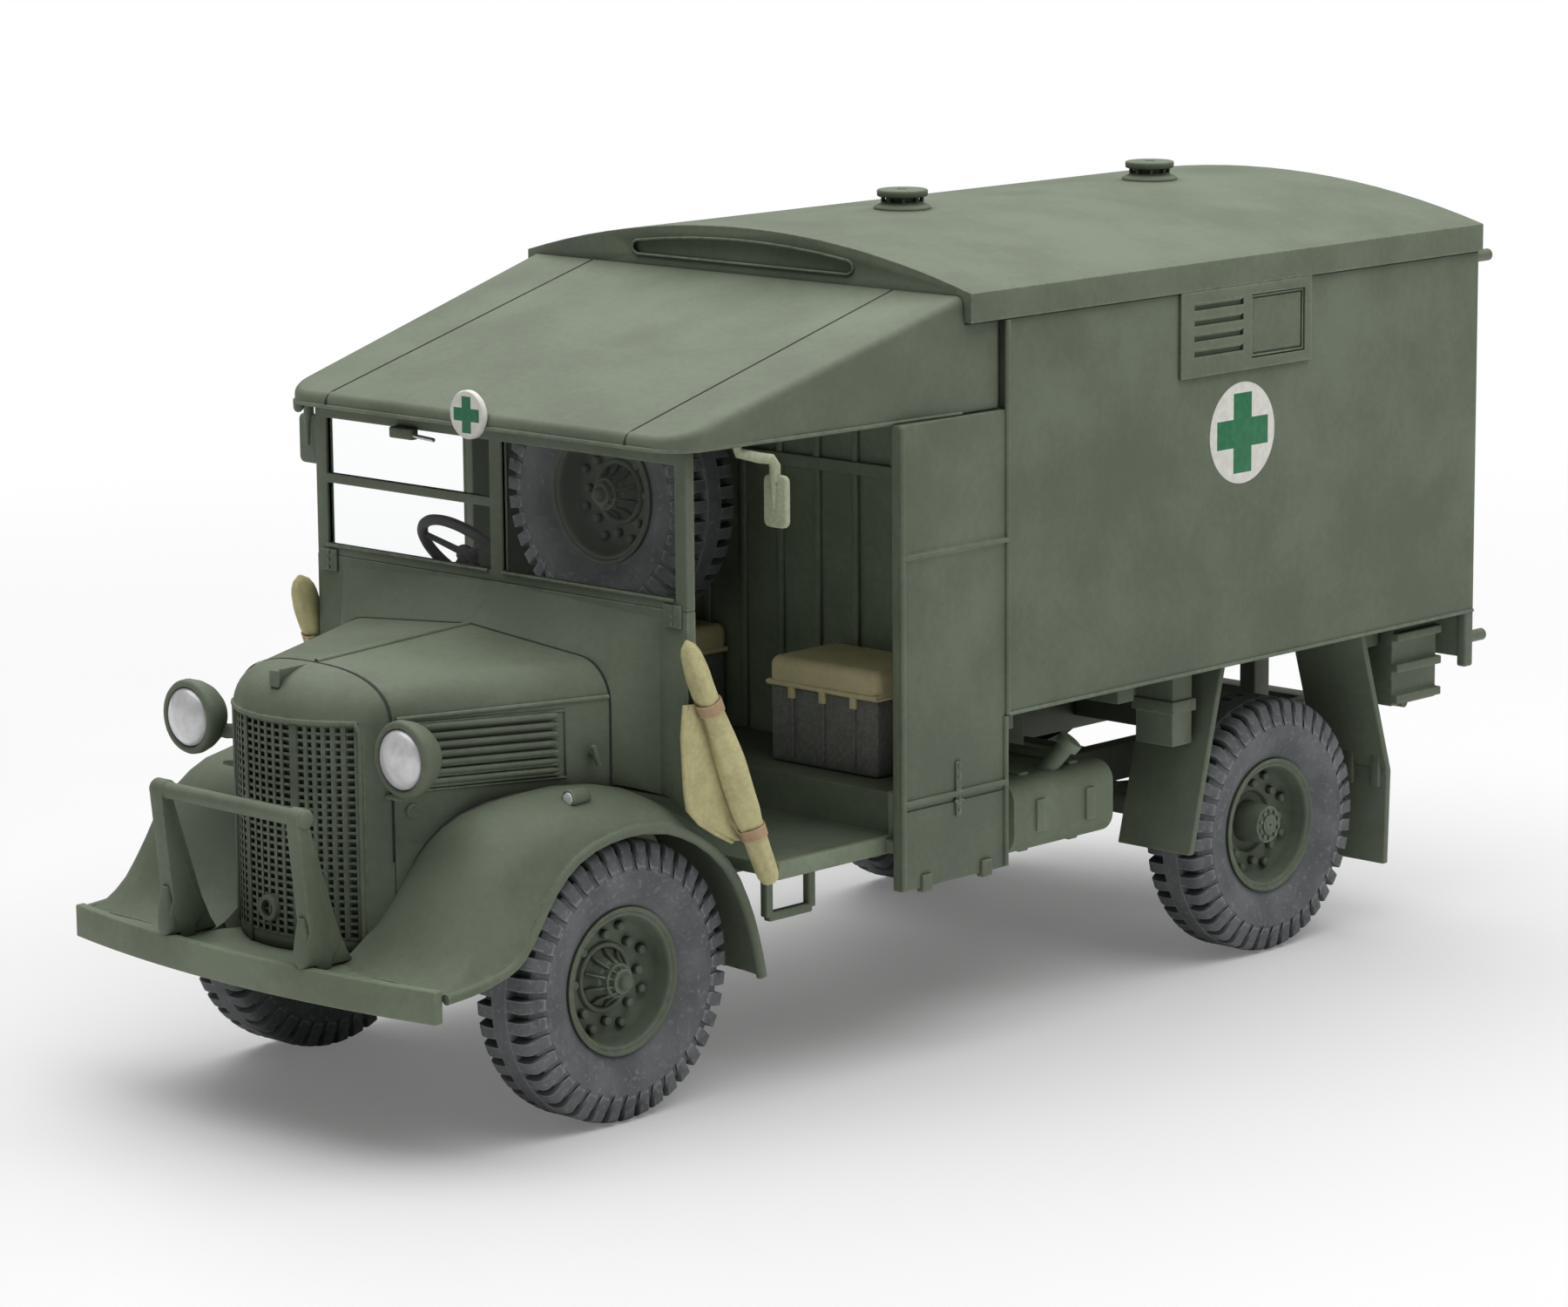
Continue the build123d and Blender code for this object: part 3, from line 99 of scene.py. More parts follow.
def soften(piece, width, segments=2):
    if width:
        bevel = piece.modifiers.new("softEdge", "BEVEL")
        bevel.width = width * mm
        bevel.segments = segments
        bevel.limit_method = "ANGLE"
        bevel.angle_limit = math.radians(35)
        alone(piece)
        bpy.ops.object.modifier_apply(modifier=bevel.name)
    return smooth(piece, 50)


def slabAt(name, x, back, z, soft=0.1):  # a box between two places on each axis
    low, high = [at(*corner) for corner in zip(sorted(x), back, z)]
    bpy.ops.mesh.primitive_cube_add(size=1, location=(low + high) / 2, scale=high - low)
    return soften(settle(name), soft)


def pole(name, start, end, radius, sides=20, soft=0.0):
    run = end - start
    bpy.ops.mesh.primitive_cylinder_add(
        vertices=sides, radius=radius * mm, depth=run.length, location=(start + end) / 2,
        rotation=run.to_track_quat("Z", "Y").to_euler())
    return soften(settle(name), soft)


def step(x, y, z):  # a way in millimetres
    return Vector((x, y, z)) * mm


def linked(name, data):
    piece = bpy.data.objects.new(name, data)
    scene.collection.objects.link(piece)
    return piece


def meshed(name, points, edges, faces):
    mesh = bpy.data.meshes.new(name)
    mesh.from_pydata(points, edges, faces)
    return linked(name, mesh)


def turned(name, origin, axis, profile, steps=48):  # profile rows: along the axis, radius
    axis = Vector(axis).normalized()
    side = axis.orthogonal().normalized()
    points = [origin + axis * along * mm + side * radius * mm for along, radius in profile]
    count = len(points)
    piece = meshed(name, points, [(i, (i + 1) % count) for i in range(count)], [])
    editAll(piece)
    bpy.ops.mesh.spin(steps=steps, angle=fullTurn, center=origin, axis=axis)
    return smooth(editDone(piece, 0.001), 50)


def cutOut(name, outline, depth, soft=0.08, segments=2):  # a flat outline pushed along depth
    piece = meshed(name, outline, [], [list(range(len(outline)))])
    editAll(piece)
    bpy.ops.mesh.extrude_region_move(TRANSFORM_OT_translate={"value": depth})
    return soften(editDone(piece), soft, segments)


def skinned(name, rows, solid=True, ring=False):  # quads between rows: capped, an open sheet or a ring
    wide = len(rows[0])
    points = [point for row in rows for point in row]
    faces = []
    for r in range(len(rows) if ring else len(rows) - 1):
        for c in range(wide if solid else wide - 1):
            near, far = r * wide, (r + 1) % len(rows) * wide
            faces.append((near + c, near + (c + 1) % wide, far + (c + 1) % wide, far + c))
    if solid and not ring:
        faces.append(tuple(range(wide - 1, -1, -1)))
        faces.append(tuple(range(len(points) - wide, len(points))))
    piece = meshed(name, points, [], faces)
    editAll(piece)
    return editDone(piece, 0.002)


def tube(name, points, radius, sides=10):  # a round bar along a run of points
    rows = []
    across = None
    for i, point in enumerate(points):
        ahead = (points[min(i + 1, len(points) - 1)] - points[max(i - 1, 0)]).normalized()
        across = across or ahead.orthogonal()
        across = (across - ahead * across.dot(ahead)).normalized()
        other = ahead.cross(across)
        size = radius[i] if isinstance(radius, (list, tuple)) else radius
        rows.append([point + (across * math.cos(turn) + other * math.sin(turn)) * size * mm
                     for turn in [fullTurn * k / sides for k in range(sides)]])
    return smooth(skinned(name, rows), 60)


def bundle(name, pieces):
    alone(pieces[0])
    for piece in pieces:
        piece.select_set(True)
    if len(pieces) > 1:
        bpy.ops.object.join()
    whole = bpy.context.view_layer.objects.active
    whole.name = name
    whole.data.name = name
    return whole


def copied(piece, name, shift=None, mirrored=False, turn=None):
    twin = linked(name, piece.data.copy())
    if turn:
        twin.data.transform(turn)
    if mirrored:
        twin.data.transform(Matrix.Scale(-1, 4, (1, 0, 0)))
        twin.data.flip_normals()
    if shift:
        twin.data.transform(Matrix.Translation(shift))
    return twin


def bothSides(pieces):  # adds the right-hand twins of left-hand pieces
    return pieces + [copied(piece, piece.name + "Right", mirrored=True) for piece in pieces]


def softCopy(node, width):  # a CAD solid with its edges rounded
    piece = linked(node + "Soft", frame["nodes"][node].data.copy())
    piece.data.materials.clear()
    alone(piece)
    bpy.ops.mesh.customdata_custom_splitnormals_clear()
    editAll(piece)
    bpy.ops.mesh.remove_doubles(threshold=0.003 * mm)
    bpy.ops.mesh.dissolve_limited(angle_limit=math.radians(0.6))
    bpy.ops.object.mode_set(mode="OBJECT")
    return soften(piece, width)


def dress(piece, finish, body="chassis", stands=()):
    piece.data.materials.clear()
    piece.data.materials.append(finish)
    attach(piece, body)
    for node in stands:
        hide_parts(node)


# shader maths

def operator(operation, swapped=False):
    def method(self, other=0.0):
        node = self.tree.nodes.new("ShaderNodeMath")
        node.operation = operation
        for slot, value in zip(node.inputs, (other, self) if swapped else (self, other)):
            feed(self.tree, slot, value)
        return Wire(self.tree, node.outputs[0])
    return method


class Wire:
    def __init__(self, tree, socket):
        self.tree, self.socket = tree, socket

    __add__, __radd__ = operator("ADD"), operator("ADD", True)
    __sub__, __rsub__ = operator("SUBTRACT"), operator("SUBTRACT", True)
    __mul__, __lt__, __abs__ = operator("MULTIPLY"), operator("LESS_THAN"), operator("ABSOLUTE")
    __or__, __and__ = operator("MAXIMUM"), operator("MINIMUM")  # the larger, the smaller


def feed(tree, socket, value):
    if isinstance(value, Wire):
        tree.links.new(value.socket, socket)
    else:
        socket.default_value = value


class Finish:
    def __init__(self, name):
        self.material = bpy.data.materials.new(name)
        self.material.use_nodes = True
        self.tree = self.material.node_tree
        self.tree.nodes.clear()
        self.place = self.node("ShaderNodeTexCoord", out="Object")

    def node(self, kind, settings=None, sockets=None, out=0):
        made = self.tree.nodes.new(kind)
        for key, value in (settings or {}).items():
            if key == "stops":
                ramp = made.color_ramp
                while len(ramp.elements) < len(value):
                    ramp.elements.new(0.5)
                for element, (spot, tone) in zip(ramp.elements, value):
                    element.position = spot
                    element.color = (*tone, 1) if isinstance(tone, tuple) else (tone, tone, tone, 1)
            else:
                setattr(made, key, value)
        for key, value in (sockets or {}).items():
            feed(self.tree, made.inputs[key], value)
        return Wire(self.tree, made.outputs[out])

    def noise(self, scale, detail=3.0, rough=0.55):
        return self.node("ShaderNodeTexNoise", None, {
            "Vector": self.place, "Scale": scale, "Detail": detail, "Roughness": rough})

    def ramp(self, value, low, high):  # 0 below low, 1 above high
        return self.node("ShaderNodeMapRange", {"interpolation_type": "SMOOTHSTEP"}, {
            "Value": value, "From Min": low, "From Max": high})

    def mix(self, share, first, second):
        tones = [tone if isinstance(tone, Wire) else (*tone, 1) for tone in (first, second)]
        return self.node("ShaderNodeMix", {"data_type": "RGBA"}, {
            0: share, 6: tones[0], 7: tones[1]}, out=2)

    def edges(self, radius):  # 1 on edges, 0 on the flat
        rounded = self.node("ShaderNodeBevel", {"samples": 4}, {"Radius": radius * mm})
        true = self.node("ShaderNodeNewGeometry", out="Normal")
        dot = self.node("ShaderNodeVectorMath", {"operation": "DOT_PRODUCT"}, {
            0: rounded, 1: true}, out="Value")
        return self.ramp(1 - dot, 0.02, 0.22)

    def hollows(self, reach):  # 1 in the open, 0 deep in a corner
        return self.node("ShaderNodeAmbientOcclusion", {"samples": 6}, {"Distance": reach * mm}, out="AO")

    def surface(self, base, rough, height=None, depth=0.0, strength=0.0, **constants):
        sockets = {"Base Color": base, "Roughness": rough, **constants}
        if height:
            sockets["Normal"] = self.node("ShaderNodeBump", None, {
                "Height": height, "Distance": depth * mm, "Strength": strength})
        self.close(self.node("ShaderNodeBsdfPrincipled", None, sockets))
        return self.material

    def close(self, shader):
        end = self.tree.nodes.new("ShaderNodeOutputMaterial")
        self.tree.links.new(shader.socket, end.inputs["Surface"])


oliveLook = {
    "tone": (0.156, 0.188, 0.130),
    "dark": (0.112, 0.136, 0.090),
    "chalk": (0.360, 0.425, 0.325),
    # near black for the hollows: painted shade, together with a dark wash
    "grime": (0.016, 0.018, 0.013),
    "edgeRadius": 0.30,
    "hollowReach": 1.6,
}


def olivePaint(name, shade=1.0, chalkShare=0.75, shadeAndWashShare=0.85):
    f = Finish(name)
    look = oliveLook
    patches = f.noise(110.0, 4.0)
    speckle = f.noise(1700.0, 3.0, 0.6)
    grain = f.noise(5200.0, 2.0, 0.6)
    tone = tuple(v * shade for v in look["tone"])
    dark = tuple(v * shade for v in look["dark"])
    base = f.mix(f.ramp(patches * 0.75 + speckle * 0.25, 0.34, 0.66), dark, tone)
    edge = f.edges(look["edgeRadius"])
    open_ = f.hollows(look["hollowReach"])
    chalk = edge * f.ramp(open_, 0.62, 0.95) * f.ramp(speckle, 0.25, 0.7) * chalkShare
    base = f.mix(chalk, base, look["chalk"])
    # darker deep in hollows, from the AO node: painted shade, together with a dark wash
    base = f.mix((1 - f.ramp(open_, 0.10, 0.80)) * shadeAndWashShare, base, look["grime"])
    return f.surface(base, 0.60 + patches * 0.16, grain * 0.5 + speckle * 0.5, 0.03, 0.35)


def tyreRubber(name):
    f = Finish(name)
    patches = f.noise(260.0, 4.0)
    speckle = f.noise(2400.0, 4.0, 0.65)
    base = f.mix(f.ramp(patches, 0.3, 0.7), (0.100, 0.108, 0.112), (0.160, 0.170, 0.175))
    edge = f.edges(0.22)
    open_ = f.hollows(1.0)
    dust = (edge * 0.75 + f.ramp(speckle, 0.52, 0.75) * 0.45) * f.ramp(open_, 0.45, 0.9)
    base = f.mix(dust & 0.9, base, (0.340, 0.360, 0.370))
    # painted shade: near black deep in the hollows between the lugs
    base = f.mix((1 - f.ramp(open_, 0.05, 0.7)) * 0.85, base, (0.010, 0.011, 0.012))
    return f.surface(base, 0.72 + speckle * 0.2, speckle, 0.04, 0.5)


def tanPaint(name, low, high, weave=0.0):
    f = Finish(name)
    patches = f.noise(420.0, 4.0)
    speckle = f.noise(2600.0, 3.0)
    base = f.mix(f.ramp(patches * 0.6 + speckle * 0.4, 0.32, 0.68), low, high)
    edge = f.edges(0.2)
    open_ = f.hollows(1.1)
    worn = tuple(min(v * 1.75, 0.8) for v in high)
    base = f.mix(edge * f.ramp(open_, 0.6, 0.95) * 0.6, base, worn)
    # painted shade: darker deep in the hollows
    base = f.mix((1 - f.ramp(open_, 0.15, 0.85)) * 0.8, base, tuple(v * 0.18 for v in low))
    height = speckle
    if weave:
        threads = f.node("ShaderNodeTexWave", {"bands_direction": "Z"}, {
            "Vector": f.place, "Scale": weave, "Distortion": 1.5, "Detail": 2.0}, out=1)
        height = speckle * 0.5 + threads * 0.5
    return f.surface(base, 0.78 + speckle * 0.12, height, 0.04, 0.45)


def plainPaint(name, low, high, rough=0.6, metal=0.0):
    f = Finish(name)
    speckle = f.noise(3000.0, 3.0)
    base = f.mix(f.ramp(speckle, 0.3, 0.7), low, high)
    open_ = f.hollows(1.0)
    # painted shade: darker deep in the hollows
    base = f.mix((1 - f.ramp(open_, 0.1, 0.8)) * 0.7, base, tuple(v * 0.2 for v in low))
    return f.surface(base, rough + speckle * 0.12, speckle, 0.03, 0.3, Metallic=metal)


def crossedDisc(name, middle, across, arm, half):  # white marking with a plain green cross, by place
    f = Finish(name)
    seen = f.node("ShaderNodeSeparateXYZ", None, {"Vector": f.place}, out=across)
    high = f.node("ShaderNodeSeparateXYZ", None, {"Vector": f.place}, out="Z")
    u, v = abs(seen - middle[0] * mm), abs(high - middle[1] * mm)
    upright = (u < half * mm) & (v < arm * mm)
    level = (v < half * mm) & (u < arm * mm)
    speckle = f.noise(1900.0, 4.0)
    white = f.mix(f.ramp(speckle, 0.3, 0.75), (0.74, 0.73, 0.66), (0.84, 0.83, 0.77))
    green = f.mix(f.ramp(speckle, 0.3, 0.75), (0.012, 0.150, 0.060), (0.022, 0.205, 0.085))
    return f.surface(f.mix(upright | level, white, green), 0.5 + speckle * 0.15, speckle, 0.02, 0.25)


def clearPane(name):
    f = Finish(name)
    haze = f.noise(240.0, 3.0)
    return f.surface((0.97, 0.98, 0.98, 1), 0.01 + f.ramp(haze, 0.5, 0.9) * 0.05,
                     **{"Transmission Weight": 1.0, "IOR": 1.12})


def lampGlass(name):
    f = Finish(name)
    facets = f.node("ShaderNodeTexVoronoi", {"feature": "F1"}, {
        "Vector": f.place, "Scale": 700.0}, out="Distance")
    speckle = f.noise(1500.0, 3.0)
    base = f.mix(f.ramp(speckle, 0.3, 0.7), (0.70, 0.70, 0.71), (0.82, 0.82, 0.83))
    return f.surface(base, 0.34 + speckle * 0.10, facets, 0.03, 0.15, Metallic=0.25, **{"Coat Weight": 0.4})


olive = olivePaint("olivePaint")
# a darker copy of the olive paint, painted shade, for the parts underneath, the grille and the spare wheel's rim
oliveShaded = olivePaint("olivePaintShaded", 0.72, 0.35, 0.95)
oliveWheel = olivePaint("olivePaintWheel", 0.88, 0.85, 0.90)
# a copy of the olive paint 1.3 times lighter with more chalk on edges, for the bumper and fuel tank
oliveLighter = olivePaint("olivePaintLighter", 1.30, 0.90, 0.85)
# a copy of the olive paint 1.6 times lighter with little darkening in hollows: painted light for the bulkhead and
# cab fittings
oliveInsideLit = olivePaint("olivePaintInsideLit", 1.60, 0.35, 0.35)
rubber = tyreRubber("tyreGrey")
tanLid = tanPaint("tanLid", (0.760, 0.660, 0.375), (0.860, 0.760, 0.450))
tanCloth = tanPaint("tanCloth", (0.480, 0.440, 0.225), (0.640, 0.590, 0.315), 1500.0)
strapPaint = tanPaint("strapPaint", (0.400, 0.265, 0.155), (0.500, 0.350, 0.215))
boxGrey = plainPaint("boxGrey", (0.190, 0.195, 0.178), (0.260, 0.265, 0.245))
blackPaint = plainPaint("blackPaint", (0.018, 0.018, 0.018), (0.038, 0.038, 0.038))
steelPaint = plainPaint("steelPaint", (0.42, 0.42, 0.42), (0.58, 0.58, 0.58), 0.3, 0.8)
paleGreen = plainPaint("paleGreen", (0.340, 0.375, 0.245), (0.430, 0.465, 0.320))
mirrorFace = plainPaint("mirrorFace", (0.46, 0.48, 0.47), (0.60, 0.62, 0.61), 0.18, 0.7)
# near-black lines for sunk seams: painted shade in the grooves
seamShade = plainPaint("seamShadePaint", (0.022, 0.025, 0.018), (0.040, 0.045, 0.032))
glass = clearPane("clearPane")
lens = lampGlass("lampGlass")
print("finishes made")

# every CAD node starts from its own finish

nodeFinish = {
    "windscreen_glass": glass, "headlamp_lenses": lens, "seat_lids": tanLid, "canvas_rolls": tanCloth,
    "steering_wheel": blackPaint, "mirrors": paleGreen, "seat_boxes": boxGrey, "bulkhead": oliveInsideLit,
}
shaded = ("frame_rails", "cross_members", "body_bearers", "front_axle", "rear_axle", "front_springs",
          "rear_springs", "engine_block", "drive_line", "exhaust", "body_floor")
lighterNodes = ("front_bumper", "fuel_tank")
for node, item in frame["nodes"].items():
    finish = nodeFinish.get(node, oliveShaded if node in shaded else olive)
    if node.startswith("tyre") or node == "spare_wheel":
        finish = rubber
    if node.startswith("rim"):
        finish = oliveWheel
    item.data.materials.clear()
    item.data.materials.append(finish)

# solids whose edges only need rounding

softNodes = {
    # node: edge radius in millimetres
    "front_bumper": 0.12, "bumper_guard": 0.22, "frame_rails": 0.12, "cross_members": 0.12,
    "body_bearers": 0.12, "fuel_tank": 0.10, "strapped_box": 0.10, "rear_mudguard_left": 0.12,
    "rear_mudguard_right": 0.12, "rear_racks": 0.12, "cab_floor": 0.12, "scuttle": 0.20,
    "windscreen_frame": 0.10, "canopy": 0.20, "roof": 0.45, "body_side_left": 0.18,
    "body_side_right": 0.18, "side_panel_left": 0.10, "side_panel_right": 0.10, "side_vents": 0.08,
    "rear_door_left": 0.15, "rear_door_right": 0.15, "bonnet": 0.10,
}
for node, width in softNodes.items():
    piece = softCopy(node, width)
    finish = oliveShaded if node in shaded else oliveLighter if node in lighterNodes else olive
    dress(piece, finish, stands=(node,))
print("edges rounded:", len(softNodes))

# wheels, made once at the origin with the outer face to +X

tyreShape = {
    "lugs": 40,
    "carcass": [  # across, radius
        (1.90, 5.46), (2.10, 5.95), (2.46, 6.35), (2.72, 7.00), (2.79, 7.60), (2.76, 7.98), (2.80, 8.10),
        (2.74, 8.24), (2.60, 8.50), (2.48, 9.00), (2.20, 9.42), (1.00, 9.55), (0.86, 10.10), (0.70, 10.30),
    ],
    "lug": [  # across, top radius, foot radius, half width at the top, at the foot
        (0.55, 10.24, 9.40, 0.43, 0.54), (1.60, 10.32, 9.35, 0.46, 0.56), (2.10, 10.24, 9.30, 0.47, 0.56),
        (2.42, 10.06, 9.15, 0.46, 0.54), (2.58, 9.64, 8.90, 0.43, 0.50), (2.71, 9.12, 8.60, 0.40, 0.46),
        (2.79, 8.62, 8.30, 0.36, 0.41), (2.80, 8.24, 8.05, 0.31, 0.35),
    ],
}
zero = Vector((0, 0, 0))


def makeTyre():
    half = tyreShape["carcass"]
    ring = half + [(-across, radius) for across, radius in reversed(half)]
    carcass = turned("carcass", zero, (1, 0, 0), ring, 80)
    rows = [[Vector((across, -foot, low)) * mm, Vector((across, -top, high)) * mm,
             Vector((across, top, high)) * mm, Vector((across, foot, low)) * mm]
            for across, high, low, top, foot in tyreShape["lug"]]
    lug = skinned("lug", rows)
    pieces = [carcass]
    pitch = fullTurn / tyreShape["lugs"]
    for i in range(tyreShape["lugs"]):
        pieces.append(copied(lug, "lugOut", turn=Matrix.Rotation(i * pitch, 4, "X")))
        pieces.append(copied(lug, "lugIn", turn=Matrix.Rotation((i + 0.5) * pitch, 4, "X"), mirrored=True))
    bpy.data.objects.remove(lug)
    return smooth(bundle("tyreMade", pieces), 40)


rimShape = {
    "flange": [  # outward, radius
        (-1.90, 5.45), (1.92, 5.45), (2.12, 5.42), (2.19, 5.30), (2.14, 5.16), (2.00, 5.06),
        (2.04, 4.97), (2.03, 4.86), (1.92, 4.76), (1.70, 4.70), (0.75, 4.58), (0.25, 4.40), (0.02, 4.10),
        (-0.02, 2.62),
    ],
    "back": [
        (1.70, 0.0), (1.70, 1.25), (-1.60, 1.25), (-1.60, 2.30), (-0.60, 2.60), (-0.60, 4.10), (-0.40, 4.72),
        (-1.90, 4.80),
    ],
    "front": [
        (0.22, 2.56), (0.30, 2.46), (0.30, 2.30), (0.18, 2.18), (0.02, 2.10), (0.30, 1.62), (1.00, 1.30),
        (1.80, 0.86), (2.02, 0.92), (2.14, 0.90), (2.18, 0.80), (2.20, 0.60), (2.42, 0.58), (2.62, 0.50),
        (2.70, 0.30), (2.70, 0.0),
    ],
    "rear": [
        (-0.10, 2.50), (-0.30, 2.44), (-0.45, 2.30), (-0.45, 1.72), (0.20, 1.58), (1.78, 1.52), (1.90, 1.46),
        (1.92, 1.36), (1.92, 0.82), (2.06, 0.80), (2.10, 0.72), (2.10, 0.14), (1.98, 0.10), (1.98, 0.0),
    ],
    "boltRings": [(3.20, 0.0), (3.86, 0.5)],
    "bolts": 8,
    "ribs": 10,
    "studs": 10,
}


def around(piece, count, start=0.0):
    step = fullTurn / count
    twins = [copied(piece, piece.name, turn=Matrix.Rotation((i + start) * step, 4, "X")) for i in range(count)]
    bpy.data.objects.remove(piece)
    return twins


def makeRim(end):
    ring = rimShape["flange"] + rimShape[end] + rimShape["back"]
    pieces = [turned("rimTurned", zero, (1, 0, 0), ring, 64)]
    for radius, start in rimShape["boltRings"]:
        foot = Vector((-0.05, 0, radius)) * mm
        bolt = pole("bolt", foot, foot + Vector((0.58 * mm, 0, 0)), 0.34, 14, 0.10)
        pieces += around(bolt, rimShape["bolts"], start)
    if end == "front":
        outline = [Vector((along, -0.08, radius)) * mm for along, radius in
                   ((0.0, 2.14), (0.24, 2.14), (0.75, 1.72), (2.05, 0.86), (1.60, 0.60), (0.10, 1.20))]
        pieces += around(cutOut("rib", outline, Vector((0, 0.16 * mm, 0)), 0.04, 1), rimShape["ribs"])
    else:
        foot = Vector((1.88, 0, 1.14)) * mm
        stud = pole("stud", foot, foot + Vector((0.24 * mm, 0, 0)), 0.17, 10, 0.05)
        pieces += around(stud, rimShape["studs"])
    return bundle("rimMade" + end, pieces)


spare = {"halfWide": 2.8, "bracket": 1.6}
tyreMade = makeTyre()
for end, hub in (("front", frontHub), ("rear", rearHub)):
    rimMade = makeRim(end)
    looks = ((tyreMade, rubber, "tyre_grey", "tyre"), (rimMade, oliveWheel, "olive_green", "rim"))
    for side in ("left", "right"):
        mirrored = side == "right"
        place = Vector((-hub.x if mirrored else hub.x, hub.y, hub.z))
        for made, finish, slot, kind in looks:
            piece = copied(made, f"{kind}{end.title()}{side.title()}", place, mirrored)
            dress(piece, finish, f"wheel_{end}_{side}", (f"{kind}_{end}_{side}",))
    if end == "front":
        spareRim = rimMade
    else:
        bpy.data.objects.remove(rimMade)

spareLow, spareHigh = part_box("spare_wheel")
spareMiddle = (spareLow + spareHigh) / 2
spareMiddle.y = spareLow.y + spare["halfWide"] * mm
quarter = Matrix.Rotation(-math.pi / 2, 4, "Z")
spareTyre = copied(tyreMade, "spareTyre", spareMiddle, turn=quarter)
dress(spareTyre, rubber, stands=("spare_wheel",))
spareDisc = copied(spareRim, "spareRim", spareMiddle, turn=quarter)
bracketEnd = Vector((spareMiddle.x, spareHigh.y, spareMiddle.z))
bracket = pole("spareBracket", spareMiddle, bracketEnd, spare["bracket"], 24, 0.1)
dress(bundle("spareRim", [spareDisc, bracket]), oliveShaded)
bpy.data.objects.remove(tyreMade)
bpy.data.objects.remove(spareRim)
print("wheels made")

# front wings: a domed sheet over each wheel with a flared lip round its arch, and a cove beside the nose

wingShape = {
    # back and height of the crest, from the front foot to the rear tip
    "crest": [
        (-18.75, 12.35), (-18.3, 12.6), (-17.6, 13.0), (-16.9, 13.6), (-16.1, 14.5), (-15.5, 15.4), (-14.9, 16.3),
        (-14.2, 17.35), (-13.4, 18.65), (-12.6, 19.9), (-11.6, 21.1), (-10.4, 22.15), (-8.9, 23.0), (-6.9, 23.5),
        (-4.6, 23.7), (-2.2, 23.75), (0.3, 23.55), (3.0, 22.85), (4.8, 22.0), (6.5, 20.95), (8.2, 19.6),
        (9.7, 18.0), (10.8, 16.3), (11.6, 14.6), (12.2, 12.9), (12.7, 11.2), (13.0, 9.4), (13.2, 7.8)],
    # back and height of the outer lip beside each of them
    "lip": [
        (-18.75, 11.95), (-17.6, 12.0), (-16.4, 12.05), (-14.6, 12.25), (-12.8, 12.64), (-11.9, 12.95),
        (-11.23, 13.36), (-10.4, 14.3), (-9.65, 15.36), (-8.85, 16.5), (-8.05, 17.5), (-7.0, 18.5),
        (-5.88, 19.28), (-4.3, 19.95), (-2.71, 20.32), (-1.1, 20.5), (0.47, 20.51), (2.87, 20.14), (4.4, 19.6),
        (5.89, 18.87), (7.4, 17.85), (8.72, 16.6), (9.75, 15.2), (10.55, 13.6), (11.1, 12.3), (11.55, 10.9),
        (12.0, 9.3), (12.35, 7.75)],
    # distance from the centre line, share of the way from crest to lip; then the same over the front slope
    "across": [(15.0, 0.05), (16.6, 0.14), (17.8, 0.27), (18.6, 0.40), (19.05, 0.52), (19.25, 0.60),
               (19.50, 0.67), (19.72, 0.80), (19.75, 0.95), (19.60, 1.0)],
    "acrossFront": [(15.0, 0.01), (16.8, 0.03), (18.0, 0.08), (18.7, 0.18), (19.05, 0.34), (19.25, 0.52),
                    (19.45, 0.66), (19.72, 0.80), (19.75, 0.95), (19.60, 1.0)],
    "inside": [(19.3, 1.0), (19.2, 0.85), (18.9, 0.72), (18.3, 0.58), (17.4, 0.44), (15.6, 0.26)],
    "inner": [(6.9, 1.9), (8.5, 1.6), (10.5, 1.1), (13.0, 0.35)],  # distance, dip beside the nose and bonnet
    "innerRear": [(12.0, 0.1), (12.3, 0.1), (12.6, 0.1), (13.0, 0.05)],
    "fade": [0.05, 0.25, 0.45, 0.65, 0.85], "bonnetEnd": 2.0, "thick": 0.5,
    "slopeEnd": 13, "slopeBlend": 5,  # the front slope's last station, and stations it blends over
    "beadX": 19.66, "beadShare": 0.90, "beadRadius": 0.40,
    "coveEnd": -12.0, "coveFoot": 12.31, "coveLean": 0.6, "coveInner": 5.7,
}


def between(first, last, share):
    return first + (last - first) * share


